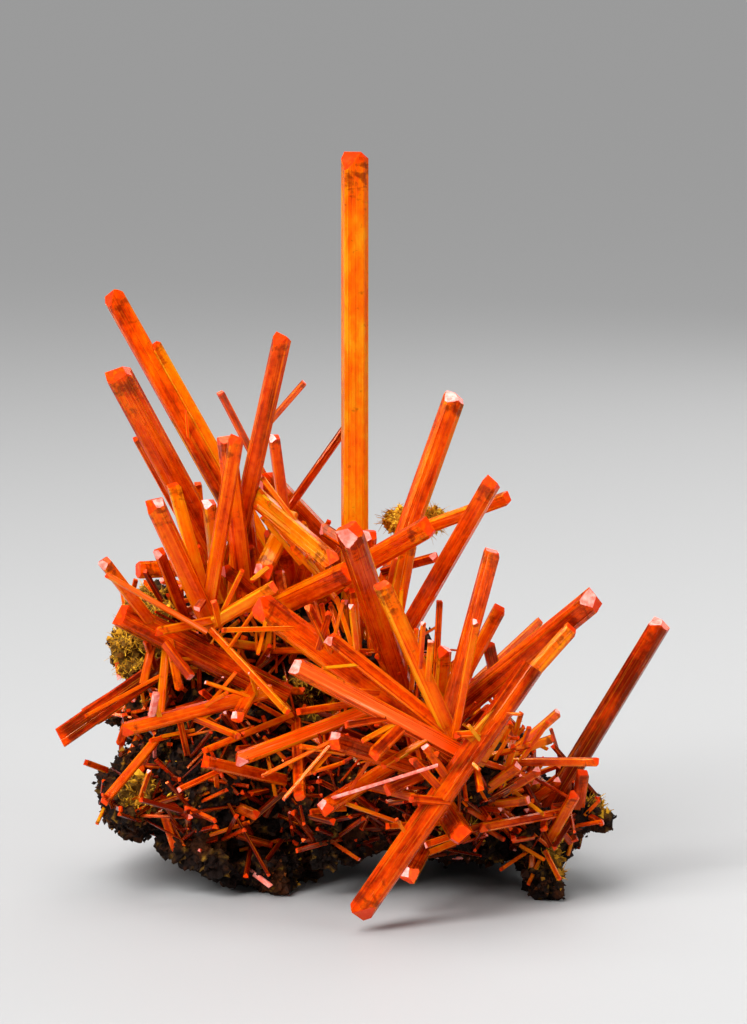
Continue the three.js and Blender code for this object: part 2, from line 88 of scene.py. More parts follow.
# The crystals by solid: the tip and the root of each (across, up, back), its width, its thickness as a
# share of the width, its roll about its length in degrees, its end, its tone from deep red (0) to amber (1)
# and the painted highlight of some: 1 for an end facet painted pale, 2 for a long face painted with a pale
# sheen as well.
CRYSTALS = {
    # the crown
    "tall_central_crystal": [((2.4, 118.4, 21), (2.4, 45, 18), 4.1, 0.82, 14, SLANT, 0.88)],
    "upper_left_blade": [
        ((-36.5, 96, 36), (-10.9, 50.4, 24), 3.4, 0.7, 12, SLANT, 0.32),
        ((-29.6, 88, 33.6), (-9.8, 52.8, 24.6), 1.8, 0.8, 12, SLANT, 0.7),
        ((-26.7, 76.6, 30.6), (-12.5, 51.2, 24.3), 1.5, 0.8, 12, SLANT, 0.42),
    ],
    "second_left_blade": [
        ((-32.5, 73.1, 12.2), (-17.9, 46.7, 22.7), 1.5, 0.8, -10, WEDGE, 0.3),
        ((-35.8, 83.8, 8), (-15.5, 46.4, 23), 4.1, 0.75, -10, WEDGE, 0.42),
    ],
    "crown_spray": [
        ((-9.1, 89.3, 8), (-17.3, 52.3, 15.5), 2.8, 0.85, 14, SLANT, 0.28),
        ((-5.6, 81.8, 17), (-13.3, 73, 11), 1, 0.8, 20, WEDGE, 0.34),
        ((-1.1, 52.8, 3), (-14.4, 64.2, 14.5), 3.1, 0.6, 20, SLANT, 0.62),
        ((-13.3, 65, 13), (-5.8, 56.2, 8.2), 0.8, 0.8, 20, WEDGE, 0.5),
        ((-12.5, 66.6, 13), (-5.9, 57.8, 7.5), 0.8, 0.8, 20, WEDGE, 0.5),
    ],
    "crown_slab": [
        ((-12.5, 67, 27.5), (1.9, 52, 27.5), 3.7, 0.7, -15, SLANT, 0.28),
        ((-19.2, 80.3, 29), (-6.4, 55.7, 27.5), 1.2, 0.8, 20, WEDGE, 0.1),
    ],
    "diagonal_needle": [((2.2, 76.3, 24.5), (-9.9, 59.2, 24.7), 1.3, 0.8, 20, WEDGE, 0.12)],
    "block_tipped_crystal": [((-18.2, 73.1, 10), (-14.9, 45, 10), 2.8, 0.85, 25, WEDGE, 0.38)],
    "slim_upright_crystal": [((-10.6, 73.4, 20), (-6.9, 46.6, 24), 1.8, 0.85, 15, POINTED, 0.36, 1)],
    "short_crown_crystal": [((-22.7, 65.8, 21), (-21.1, 46.6, 27), 1.2, 0.85, 10, WEDGE, 0.42)],
    "white_faced_block": [((-21, 63, 12), (-18.9, 46.6, 14.5), 2.1, 0.85, 20, POINTED, 0.75, 1)],
    "bright_stub": [((-12.5, 51, 6), (-8, 60.5, 17.5), 2.8, 0.85, 10, POINTED, 0.75, 1)],
    "crown_backing_pair": [
        ((-9.3, 55.7, 14), (-6.9, 45.9, 19), 2.5, 0.85, 15, WEDGE, 0.4),
        ((-4.6, 55, 12), (-6.9, 47.2, 17.5), 2.3, 0.85, -15, WEDGE, 0.32),
    ],
    "dim_upright_crystal": [((2.1, 48.8, -1), (2.9, 37.8, 4), 1.4, 0.85, 15, WEDGE, 0.3)],
    # the left side
    "left_fan": [
        ((-16.5, 73.1, 1), (-21.4, 43.7, 5), 2.3, 0.8, 15, SLANT, 0.42),
        ((-26.7, 65.6, 9), (-21.3, 46.4, 5.5), 2.1, 0.8, 10, WEDGE, 0.68),
        ((-29.9, 62.9, -2), (-21.4, 44.6, 4.5), 2.9, 0.8, -12, POINTED, 0.4, 1),
        ((-29.4, 41.8, -5), (-20, 43.7, 3.5), 1.4, 0.85, 10, SLANT, 0.5),
        ((-10.2, 49.1, 0), (-21.4, 42.6, 3.6), 2.1, 0.8, 15, WEDGE, 0.55),
        ((-15.5, 51.8, 2), (-19.4, 43.7, 3), 0.8, 0.85, 10, WEDGE, 0.62),
    ],
    "left_lean_crystal": [((-29, 54.9, 2), (-22.9, 39.2, 15), 1.8, 0.85, 10, POINTED, 0.32, 1)],
    "left_level_crystal": [((-32.3, 51.7, 9), (-22.1, 52.2, 15), 2.6, 0.8, 15, FLAT, 0.34)],
    "left_shelf_spray": [
        ((-37.9, 53.3, -4), (-27.8, 40.2, 4), 1.9, 0.85, 10, POINTED, 0.4, 1),
        ((-35.4, 45, 2), (-8.5, 31.2, 4), 4.2, 0.7, 15, WEDGE, 0.12),
        ((-27.7, 40.5, 3.5), (-28.8, 28.3, -3), 1.3, 0.5, 15, WEDGE, 0.5),
    ],
    "left_bright_lath": [((-37.4, 51, -6), (-21.3, 41.8, -1.2), 0.9, 0.7, 30, SLANT, 0.5, 2)],
    "left_short_lath": [((-29.9, 40.5, 4), (-31.5, 33.4, 1), 1.3, 0.6, 15, WEDGE, 0.3)],
    "left_blade": [((-44.8, 24.8, -2), (-27.2, 37, 5), 3.2, 0.35, 10, FLAT, -0.15)],
    "left_cross_pair": [
        ((-34.7, 26.1, -12), (-10.9, 32.3, -2), 2.2, 0.8, 15, SLANT, 0.36),
        ((-16.5, 28, -14), (-13.4, 33.4, 0.8), 1.9, 0.85, 15, POINTED, 0.38, 1),
    ],
    "long_drooping_crystal": [((-8.2, 28.8, -12), (-20.6, 42.1, 1.8), 1.1, 0.8, 20, WEDGE, 0.62)],
    "lower_left_crystal": [((-37.9, 14.4, -5), (-29.3, 24.6, 2), 1.4, 0.8, 15, WEDGE, 0.42)],
    "small_left_crystal": [((-40.8, 21, 2), (-37.3, 19.7, 7), 1, 0.85, 15, WEDGE, 0.4)],
    # the middle and the upper right
    "cross_bar_crystal": [((2.4, 51.8, -4), (-11.5, 45.3, 12), 3.5, 0.8, 12, WEDGE, 0.46)],
    "pink_topped_crystal": [((1.4, 58.4, -20), (10.1, 31.8, 4), 3.8, 0.85, 20, POINTED, 0.28, 1)],
    "pink_topped_stub": [((4.8, 57.8, 7.4), (4.2, 50.6, 12), 2.3, 0.85, 10, POINTED, 0.3, 1)],
    "right_reaching_crystal": [((14.6, 58.9, -4), (-4.2, 48, 14.3), 3.2, 0.8, 12, WEDGE, 0.34)],
    "right_upper_spray": [
        ((18.6, 80, 24), (5.9, 44.2, 16), 3.4, 0.85, 15, POINTED, 0.5, 1),
        ((27.2, 63.4, 12), (9.6, 57, 17.5), 2.1, 0.85, 15, WEDGE, 0.42),
        ((15.5, 53.8, 8), (7, 51.5, 16), 1.5, 0.85, 15, POINTED, 0.08, 1),
    ],
    "right_slant_crystal": [((24.6, 66.1, -6), (8.6, 38.4, 9), 2.7, 0.85, -15, WEDGE, 0.36)],
    "central_spray": [
        ((-13.1, 46.4, -9), (19.8, 22.2, -15.5), 4.2, 0.8, 12, SLANT, 0.38),
        ((-1.9, 41.1, -14.6), (17, 26.1, -17.7), 2.2, 0.8, 12, POINTED, 0.42, 1),
        ((6.6, 49.8, -19), (18.7, 22.9, -17), 2.6, 0.8, 15, WEDGE, 0.7),
        ((-7.5, 36.6, -26), (19.2, 22.4, -17.8), 2.8, 0.85, 15, WEDGE, 0.34, 2),
        ((24.5, 55, -3), (16.3, 24.8, -15.5), 2.5, 0.85, 12, WEDGE, 0.32),
        ((21.9, 43.8, -22), (18.1, 23.5, -17.8), 1.2, 0.8, 15, POINTED, 0.4, 1),
    ],
    "hub_back_spray": [
        ((16.8, 39.2, -8), (16, 28.3, 2), 2.1, 0.85, 10, SLANT, 0.78),
        ((16, 46.9, 5), (15, 28.3, -1.5), 1, 0.85, 10, WEDGE, 0.3),
        ((25.8, 45.9, -1), (15.7, 27, 1), 2.1, 0.8, 10, WEDGE, 0.46),
        ((32.2, 43.7, 12), (15.7, 28.3, 0), 1.3, 0.85, 10, WEDGE, 0.36),
    ],
    "hooked_red_crystal": [((23.7, 40.2, 2), (27.8, 21.9, 3), 1.9, 0.85, 10, SLANT, 0.14)],
    "big_right_crystal": [((41.1, 47.4, -15.5), (16, 27, -5), 3.5, 0.85, 15, POINTED, 0.2, 1)],
    "small_red_stub": [((-0.3, 34.6, -9), (0.6, 39.2, 6), 1.4, 0.85, 15, WEDGE, 0.12)],
    "mid_level_lath": [((-6.9, 29, -15), (7.8, 31.2, 1.4), 1.1, 0.85, 15, WEDGE, 0.34)],
    # the lower right
    "long_front_crystal": [
        ((2.9, -3.5, -27), (30.7, 36.3, -18.4), 3.7, 0.85, 12, SLANT, 0.34),
        ((37.3, 42.6, -16.4), (20.8, 24.2, -21.6), 2.2, 0.85, 12, WEDGE, 0.5),
    ],
    "far_right_crystal": [((51.7, 43.7, 10), (32.3, 11.8, 0), 3.2, 0.85, -12, POINTED, -0.12, 1)],
    "right_low_spray": [
        ((35.2, 29.1, -5), (22.1, 17.8, -12.5), 1.4, 0.85, 12, POINTED, 0.45, 1),
        ((34.2, 24.8, -8.5), (20.5, 20, -11), 1.3, 0.85, 12, WEDGE, 0.58),
        ((41.4, 21, -12), (25, 21.1, -9.2), 1.3, 0.85, 12, SLANT, 0.42),
    ],
    "right_base_pair": [
        ((22.6, 10.4, -18), (36.5, 13.1, -4), 1.4, 0.85, 12, SLANT, 0.3),
        ((37.8, 16, -9), (33.6, 8.8, -4), 1.7, 0.85, 12, SLANT, 0.4),
    ],
    "right_red_stub": [((39, 19.7, -3), (38.1, 13.6, -2), 1.9, 0.85, 12, WEDGE, 0.1)],
    "stout_front_crystal": [((19.7, 8.8, -24), (14.4, 17.3, -10), 3.4, 0.8, 20, WEDGE, 0.28)],
    # low on the front
    "lower_front_crystal": [((-2.9, 13.4, -19), (8.3, 20.3, -8), 2.4, 0.85, 15, POINTED, 0.34, 1)],
    "crossing_red_crystal": [((-1.6, 24.6, -20), (17.6, 18.4, -10), 2.8, 0.8, 12, POINTED, 0.22, 1)],
    "small_cross_crystal": [((14.2, 14.9, -16), (4.2, 17.3, -8), 1.4, 0.85, 12, WEDGE, 0.36)],
    "lower_pin_crystal": [((7.4, 10.7, -18), (19.2, 11.5, -4), 1, 0.85, 12, WEDGE, 0.38)],
    "hanging_stub": [((10.9, 2.6, -17), (14.1, 8.5, -5), 2.7, 0.85, 12, POINTED, 0.08, 1)],
    "hanging_crystal": [((-6.4, 15.4, -18), (-6.9, 27.4, 4), 1.7, 0.85, 15, FLAT, 0.22)],
    "stepped_low_crystal": [((-16.5, 21.3, -18), (6.9, 30.2, 4), 2.2, 0.8, 12, SLANT, 0.5, 2)],
    "low_left_stub": [((-21.9, 21.1, -18), (-9, 18.1, -4), 1.9, 0.85, 15, WEDGE, 0.2)],
    "low_left_lath": [((-21.9, 22.7, -14), (-7.7, 28.5, 3), 1, 0.85, 15, WEDGE, 0.42)],
    "low_left_needle": [((-25.9, 16.5, -17), (-16.6, 20.8, -4), 0.9, 0.85, 15, WEDGE, 0.45, 2)],
    # the back
    "back_upper_spray": [
        ((-14.4, 59.7, 54), (-9, 44.3, 37), 2.6, 0.85, 15, POINTED, 0.5, 1),
        ((-3.5, 54.6, 56), (-8, 44, 38), 2.1, 0.85, 12, SLANT, 0.35),
        ((-18.9, 48.5, 57), (-9.9, 44.2, 38), 1.7, 0.85, 12, WEDGE, 0.45),
    ],
    "back_left_crystal": [((-29.1, 40.5, 50), (-21.1, 31.8, 33), 2.4, 0.85, 15, WEDGE, 0.4)],
    "back_low_spray": [
        ((-21.4, 28.3, 56), (-11.8, 24.2, 38), 2.6, 0.85, 12, POINTED, 0.35, 1),
        ((-12.5, 20, 58), (-17.6, 26.7, 48.8), 1.6, 0.85, 12, WEDGE, 0.5),
    ],
    "back_middle_crystal": [((0.8, 36.6, 57), (-2.9, 28.3, 37), 2.9, 0.85, 20, WEDGE, 0.42)],
    "back_right_spray": [
        ((12.5, 29.6, 52), (6.7, 22.9, 35), 2.4, 0.85, 12, POINTED, 0.38, 1),
        ((4.2, 29.9, 56), (10.2, 26.9, 45.2), 1.5, 0.85, 12, SLANT, 0.5),
    ],
}

# Crystals behind the front ones, in the middle of the specimen: the tip, root, width and tone of each and
# the painted highlight of some.
HEART_CRYSTALS = [
    ((-17.6, 60.5, 17), (-15.5, 45.3, 16), 1.8, 0.3), ((-19.8, 56.5, 20), (-18.6, 44.5, 17), 1.9, 0.2),
    ((-12.5, 62.9, 19), (-6.7, 48.5, 18), 1.6, 0.5), ((-11.2, 58.1, 21), (-9.3, 45, 18), 1.9, 0.35),
    ((-8, 57.3, 23), (-5.8, 45.3, 20), 1.9, 0.42), ((-6.2, 59.4, 19), (-1.6, 48.2, 16), 1.4, 0.55),
    ((-4.3, 57, 21), (-2.9, 46.6, 16), 1.6, 0.42), ((-18.9, 52.2, 7), (-11.2, 45.9, 12), 2.1, 0.1, 1),
    ((-14.4, 55.7, 13), (-12.8, 45, 12), 1.6, 0.4), ((-12.5, 53.3, 18), (-13.1, 45, 16), 1.9, 0.25),
    ((-12.5, 60.3, 12), (-6.1, 52.6, 10), 0.8, 0.62), ((-11.5, 62.7, 11), (-3.2, 53.3, 9), 0.8, 0.66),
    ((-10.2, 59.4, 11), (-2.6, 49.8, 9), 1.1, 0.5), ((-7.7, 55.5, 8), (-1.4, 48.8, 8), 1.1, 0.42),
    ((-5.6, 53.9, 8), (-0.3, 46.6, 8), 1, 0.5), ((-2.9, 58.4, 14), (2.6, 54.9, 10), 1.9, 0.08, 1),
    ((11.7, 56, 6), (9, 41.8, 6), 1.3, 0.5), ((10.2, 55, 8), (8.2, 45, 6), 1.3, 0.56),
    ((9, 53.8, 8), (7.4, 46.9, 8), 1.1, 0.4), ((9.9, 48.8, 2), (9.4, 39.7, 0), 0.6, 0.5),
    ((1, 48.8, 2), (5.4, 41.8, 4), 1, 0.42), ((-0.6, 47.5, 2), (1.9, 39.7, 0), 0.8, 0.35),
    ((-2.9, 46.4, 5), (-1.6, 39.7, 4), 0.8, 0.2), ((-1.6, 46.1, 6), (0.8, 37.6, 2), 0.8, 0.3),
    ((12.3, 42.4, 2), (11.5, 32.5, 0), 0.8, 0.5), ((11, 41.8, 3), (10.2, 32.5, 2), 1, 0.4),
    ((9.6, 40.5, 4), (9, 30.9, 2), 1.1, 0.3), ((13.4, 36, -2), (16, 30.9, -2), 1, 0.8),
    ((25.3, 32.5, 0), (27.5, 22.6, 2), 1.9, 0.25), ((20.8, 34.4, 2), (22.1, 26.7, 2), 1.4, 0.15, 1),
    ((18.7, 32.5, -6), (17.3, 25.3, -6), 1.3, 0.6), ((22.4, 30.9, 0), (20.8, 23.7, -4), 0.8, 0.7),
    ((22.1, 39.2, 4), (18.4, 27.4, 2), 1, 0.5), ((19.5, 36, 0), (17.3, 26.7, -4), 1.6, 0.3),
    ((-23, 55.7, 14), (-21.1, 45, 12), 1.9, 0.25), ((-25, 53.3, 16), (-21.8, 44.3, 14), 1.6, 0.3),
    ((-16.6, 58.1, 12), (-17.3, 46.2, 10), 1.6, 0.45), ((-20.5, 59.7, 16), (-19.8, 46.9, 14), 1.9, 0.32),
    ((-15, 62.9, 18), (-13.4, 48.5, 16), 1.9, 0.38), ((-5.6, 50.1, 6), (-2.4, 40.5, 4), 1.4, 0.2),
    ((-9.6, 51.7, 10), (-8, 42.1, 8), 1.6, 0.3), ((-12.5, 48.5, 6), (-8, 40.5, 6), 1.3, 0.2),
    ((16.8, 30.9, -4), (16, 23.7, -6), 1.6, 0.35), ((14.4, 32.5, 0), (16, 24.5, -2), 1.9, 0.25),
]
HEART_THICKNESS = 0.8  # share of the width

# Small crystals seen on the front: across and up of the tip, across and up of the root, width, how much
# nearer the viewer the tip is than what lies behind the root, which the crystal grows from, and tone.
SMALL_CRYSTALS = [
    (-13.4, 62.1, -7.7, 57.6, 0.6, 2, 0.5), (-14.2, 49.9, -11.5, 52.2, 0.8, 1, 0.6),
    (-1.6, 46.6, 0.8, 41.8, 0.6, 1, 0.3), (1.1, 46.9, 1.9, 39.7, 1, 0.5, 0.15),
    (3.2, 46.4, 3.5, 40.2, 0.8, 0.5, 0.2), (5.1, 41.1, 9.6, 36, 1, 1.5, 0.4),
    (6.1, 42.9, 7.7, 38.9, 0.6, 1, 0.4), (-18.9, 42.1, -7, 42.4, 0.8, 2, 0.5),
    (-16, 43.7, -20, 40.5, 0.6, 1, 0.5), (-12.5, 46.9, -17.9, 38.9, 0.6, 1.5, 0.5),
    (15.7, 20.5, -1.3, 15.2, 0.5, 9, 0.95), (-2.1, 13, -4.8, 9.1, 0.6, 2.5, 0.95),
    (-21.6, 33.8, -14.4, 31.4, 0.6, 2, 0.4), (-13.6, 30.6, -7.5, 27.2, 0.8, 2, 0.45),
    (-10.2, 15.4, -11.5, 21.8, 0.6, 2, 0.4), (39.2, 15.7, 36.5, 6.1, 0.6, 2, 0.6),
    (30.6, 2.4, 30.9, 6.1, 1, 1, 0.3), (18.4, 14.6, 26.4, 13.3, 0.8, 2, 0.4),
    (21.3, 18.1, 23.5, 14.9, 0.5, 1, 0.4), (1.6, 14.1, 8.8, 11.7, 0.5, 1.5, 0.3),
    (0, 12.5, 8, 9.6, 0.5, 1.5, 0.3), (9, 12, 10.4, 9.8, 0.6, 1, 0.4), (20.8, 5.6, 15.2, 5.8, 0.5, 2, 0.95),
    (29.1, 28.6, 26.4, 28.8, 0.5, 1, 0.4), (29.4, 26.9, 28.8, 24.8, 0.5, 1, 0.4),
    (-30.1, 32, -28.8, 28.2, 0.8, 1, 0.8), (-29.6, 24.5, -29.6, 21.8, 0.6, 2, 0.95),
    (-38.9, 11, -37.6, 13.8, 0.6, 1, 0.8), (-24.6, 77.3, -24.2, 72.5, 0.5, 0.5, 0.9),
    (-1.6, 59.7, -2.9, 57.3, 0.8, 1, 0.4), (22.4, 19.7, 20.8, 21.3, 0.6, 1, 0.5),
    (24.8, 18.9, 28.8, 16.5, 1.6, 1, 0.3), (31.7, 17.9, 30.2, 15.4, 1.3, 2, 0.85),
    (32.8, 12.5, 25.6, 18.1, 0.6, 1.5, 0.5), (32, 13, 28.8, 18.9, 0.5, 1.5, 0.6),
    (35.2, 20.5, 29.6, 18.4, 0.8, 1.5, 0.3), (22.7, 19.4, 27.5, 21.8, 0.6, 2, 0.6),
    (33.3, 23, 28.8, 25.3, 0.6, 1, 0.5), (25.6, 13, 12, 14.4, 1.1, 2, 0.35),
    (23.5, 14.7, 21.4, 18.4, 0.5, 1, 0.5), (12.8, 5.9, 20.8, 9.1, 1, 1, 0.2),
    (13.6, 7.7, 25.6, 11.7, 1.1, 1, 0.15), (25.6, 20.5, 31.4, 16.5, 1.9, 1, 0.2),
    (37.6, 8.2, 35.2, 14.6, 1.3, 1, 0.12), (32.8, 9.1, 31.2, 13.9, 1.3, 1, 0.12),
    (20.8, 19.4, 25.6, 14.9, 0.6, 1.5, 0.4), (29.6, 26.6, 26.4, 22.9, 0.5, 2, 0.5),
    (27.2, 25.3, 24.8, 21.3, 0.6, 1, 0.5), (19.2, 16.5, 25.6, 14.9, 0.6, 1, 0.3),
    (34.4, 16.5, 28, 12.5, 0.6, 1, 0.25), (-23.7, 34.4, -28, 40, 1.6, 2, 0.1),
    (-40.8, 28.3, -28, 35.2, 0.6, 2, 0.25), (-39, 27.4, -30.4, 32.5, 1.1, 1, 0.3),
    (-29.3, 32.2, -30.1, 28.3, 1.1, 2, 0.95), (-17.9, 32.2, -21.6, 29.9, 0.6, 2, 0.5),
    (-16.6, 35.4, -20.5, 30.7, 0.6, 2, 0.5), (-14.4, 35.4, -13, 30.7, 0.6, 2, 0.5),
    (-20, 25, -22.4, 28, 1, 1, 0.3), (-16, 25, -23.2, 28, 1.1, 1, 0.25),
    (-13.6, 26.4, -20, 24.5, 1, 1, 0.35), (-28.8, 25, -23.2, 26.1, 0.6, 1, 0.4),
    (-23.7, 18.4, -28, 21, 0.8, 1, 0.5), (-21.6, 13, -14.4, 15.7, 0.6, 1, 0.2),
    (-13.1, 12.3, -16.6, 13.9, 1.6, 1, 0.35), (-26.1, 6.6, -28, 12.5, 1.4, 1, 0.12),
    (-12.5, 18.7, -1.6, 24.2, 0.6, 1.5, 0.25), (-9.1, 14.9, -1.6, 23.7, 0.6, 1.5, 0.3),
    (0.8, 21, -6.4, 18.7, 0.6, 1, 0.3), (-11, 1.1, -14.9, 4, 0.8, 4, 0.95),
    (-35.2, 23.7, -32.8, 30.9, 1.4, 1, 0.1), (-20.5, 53.3, -18.4, 46.9, 1.6, 1, 0.3),
    (3.5, 24.3, 8.5, 27, 0.8, 2, 0.5), (5.1, 21.8, 9.6, 26.4, 2.1, 3, 0.3),
    (8.8, 21.4, 13, 24.2, 1, 2, 0.45), (6.7, 20.3, 13.8, 24.6, 1.1, 1.5, 0.35),
    (-2.4, 27.5, -2.1, 23.7, 1, 2, 0.2), (-6.4, 23.5, 0.8, 22.4, 0.8, 1, 0.25),
    (-4.5, 19.2, 0.8, 25.3, 0.6, 1, 0.3), (-9.1, 17.1, -3.2, 22.9, 0.6, 1, 0.3),
    (0.8, 14.4, 9.9, 11.2, 0.6, 1, 0.35), (7.2, 16.5, 14.4, 19.7, 2.2, 1, 0.08),
    (0.8, 26.9, 7.4, 28, 1.1, 1, 0.1), (-4.8, 13, 1, 13.6, 1, 1, 0.15),
    (11.2, 15.2, 17.6, 14.6, 1.3, 1, 0.15), (6.4, 23.7, 1.6, 16.5, 0.6, 1.5, 0.3),
    (12.8, 22.6, 3.2, 20.5, 1, 1, 0.3), (0.8, 32.5, 6.4, 32, 1, 1, 0.3), (-2.9, 36, 3.2, 36.6, 0.5, 1, 0.7),
    (-17.6, 38.1, -10.4, 40.5, 0.6, 1, 0.4), (-16.3, 45.3, -12.5, 38.9, 0.6, 1.5, 0.45),
    (-14.4, 44.5, -11.5, 38.9, 0.6, 1.5, 0.35), (-13.1, 38.1, -11.5, 45, 0.6, 1.5, 0.4),
    (-6.4, 40.5, -8, 36.5, 1, 1, 0.1), (-17.3, 40.5, -6.4, 44.5, 0.6, 1, 0.35),
    (-21.4, 38.9, -21, 41.4, 0.6, 1, 0.7), (-27.2, 37.3, -22.2, 37.6, 0.6, 1, 0.4),
    (-31, 40.5, -29.6, 36, 1.1, 1.5, 0.2), (-23, 45.3, -21.9, 46.9, 1.3, 1, 0.1),
    (-20.2, 46.9, -19.2, 42.9, 1.1, 1, 0.35), (-1.6, 45, -3.5, 38.9, 1.1, 1, 0.12),
    (-5.1, 46.1, -1.6, 38.9, 1.3, 1, 0.2), (4.2, 46.9, 5.1, 38.1, 1, 1, 0.3),
    (1.9, 46.2, 2.7, 38.9, 1, 1, 0.45), (0.6, 46.9, -1.6, 38.1, 0.6, 1, 0.3),
    (5.9, 46.9, 6.4, 38.9, 0.8, 1, 0.4), (14.4, 22.6, 9.6, 18.9, 1, 1.5, 0.2),
    (17, 21.3, 11.2, 16.5, 0.8, 1.5, 0.3), (18.4, 25.3, 22.4, 25.6, 1.1, 1, 0.6),
    (20.5, 27, 22.4, 24.5, 0.6, 1, 0.8), (23.2, 25.3, 25.6, 23.7, 1.4, 1, 0.5),
    (20.8, 21.3, 24.3, 23.7, 0.8, 1, 0.5), (35.2, 11.7, 40, 14.9, 0.8, 1, 0.15),
    (26.4, 8.5, 22.4, 10.9, 0.8, 1, 0.2), (32.8, 5.3, 28.8, 7.7, 0.6, 1, 0.3),
    (30.1, 1.3, 32, 5.3, 0.6, 1, 0.3), (25.6, 3.7, 30.4, 6.9, 0.6, 1, 0.15),
    (35.2, 2.1, 32.8, 6.9, 0.8, 1, 0.25), (-25.6, 32.5, -27.2, 40.5, 1.4, 1, 0.35),
    (-30.4, 19.7, -32, 14.9, 0.8, 1, 0.4), (-24, 23.7, -30.4, 21.3, 0.8, 1, 0.25),
    (-24.8, 14.9, -17.6, 17.3, 0.6, 1, 0.15), (-20, 20.5, -19.5, 15.5, 0.8, 1, 0.15),
    (-16, 21.3, -12.5, 14.9, 0.6, 1, 0.3), (-14.4, 11.4, -20.8, 9.3, 0.6, 1, 0.2),
    (-9.6, 8.5, -16, 6.9, 0.6, 1, 0.15), (-1.6, 7.7, 4.8, 8.8, 0.6, 1, 0.2),
    (9.6, 5.3, 17.6, 7.5, 0.8, 1, 0.15), (3.2, 5.3, -1.6, 8.5, 0.6, 1, 0.2),
    (-33.6, 14.9, -28.8, 16.5, 0.6, 1, 0.3), (17.6, 13.3, 22.4, 9.3, 1, 1, 0.15),
    (41.6, 14.9, 39.2, 12.5, 0.6, 1, 0.2), (13.6, 23.7, 16.8, 18.9, 1.4, 1, 0.15),
    (11.5, 21.6, 15.7, 17.1, 1.3, 1, 0.1), (26.7, 27.4, 22.4, 20.5, 1.3, 1, 0.5),
    (28.8, 20.5, 23.2, 16.5, 1.6, 1.5, 0.45), (32, 19.7, 25.6, 15.7, 1.4, 1, 0.35),
    (30.4, 14.9, 24, 14.1, 1.4, 1, 0.3), (20.8, 16.5, 25.6, 18.9, 1.3, 1.5, 0.45),
    (28, 23.7, 25.6, 16.5, 1, 1.5, 0.55), (32.8, 21.6, 28.8, 16.2, 1, 1.5, 0.5),
    (25.3, 21.6, 27.5, 14.9, 1.1, 1.5, 0.4), (35.2, 18.1, 30.4, 14.9, 1.3, 1, 0.25),
    (22.1, 12.5, 28.8, 14.9, 1.1, 1, 0.3), (18.4, 16.5, 22.4, 13, 1.4, 1, 0.35),
    (33.3, 27.4, 28.8, 21, 0.8, 1, 0.5), (37.6, 21, 32, 16.5, 0.8, 1.2, 0.4),
    (13.4, 43.4, 12.8, 36, 0.8, 1.5, 0.35), (14.6, 40.5, 14.1, 34.1, 1, 1.5, 0.45),
    (12, 41.8, 11.2, 35.4, 0.6, 1, 0.4), (29.1, 29, 27.5, 23.7, 0.8, 1.5, 0.4),
    (30.4, 26.7, 28.8, 22.6, 0.8, 1.5, 0.45), (27.5, 27.4, 25.3, 23.2, 1, 1.5, 0.5),
]
SMALL_THICKNESS = 0.7  # share of the width

# ---- crystals: forms

SIDE, FACET, PAINTED_HIGHLIGHT, PAINTED_SHEEN = 0, 1, 2, 3  # materials: long faces, end facets, faces painted pale as highlights and long faces with a painted streaky pale sheen
PAINTED_HIGHLIGHT_WAY = Vector((-0.15, -0.86, 0.48))  # towards the light: faces that look most this way get painted highlights
PAINTED_SHEEN_SPREAD = 0.03  # how much less a long face may look that way than the best one and still get the painted sheen
PAINTED_EDGE_LIGHT = 0.8  # painted highlight: how much brighter a crystal's long edges are painted than its faces
BEVELS = (0.16, 0.26, 0.19)  # of the plain edge and the uneven one, as shares of the thickness
RIB_PITCH = 0.24  # mm between two ribs
RIB_STEP = 0.035  # deepest step between two ribs, as a share of the crystal's width
RIB_SLOPE = 0.12  # share of a rib's own width on each side of it that slopes
RING_PITCH = 3.5  # mm between two rings of points along a crystal
CHIP_TURNS = (35, 125, 305)  # of the end's corners that may be chipped off
VEIL_SHIFT = 500  # mm, the most that a crystal's veils are shifted, so that no two are alike
CHIP_CHANCE, CHIP_START = 0.6, 0.42  # the start is off the middle, as a share of the width


def add_object(name, data):
    """A new object in the scene."""
    made = bpy.data.objects.new(name, data)
    bpy.context.scene.collection.objects.link(made)
    return made


class Growth:
    """The points and faces of one piece, gathered crystal by crystal or grain by grain."""

    def __init__(self):
        self.points, self.grown, self.marks, self.faces, self.kinds = [], [], [], [], []

    def point(self, where, grown, *marks):
        """A point, its place in the crystal's own growth, and how far below the tip, how light in tone and
        how much painted light or shade it has."""
        self.points.append(where * MM)
        self.grown.append(grown)
        self.marks.append(marks)

    def face(self, first, corners, kind=0):
        """A face whose corners are counted from a first point, of one of the piece's materials."""
        self.faces.append([first + corner for corner in corners])
        self.kinds.append(kind)

    def piece(self, name, materials, slot):
        mesh = bpy.data.meshes.new(name)
        mesh.from_pydata(self.points, [], self.faces)
        for material in materials:
            mesh.materials.append(material)
        mesh.polygons.foreach_set("material_index", self.kinds)
        grown = mesh.attributes.new("grown", "FLOAT_VECTOR", "POINT")
        grown.data.foreach_set("vector", list(itertools.chain(*self.grown)))
        for label, numbers in zip(("below_tip", "tone", "painted_light"), zip(*self.marks)):
            mesh.attributes.new(label, "FLOAT", "POINT").data.foreach_set("value", numbers)
        piece = add_object(name, mesh)
        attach(piece, "root")
        return piece


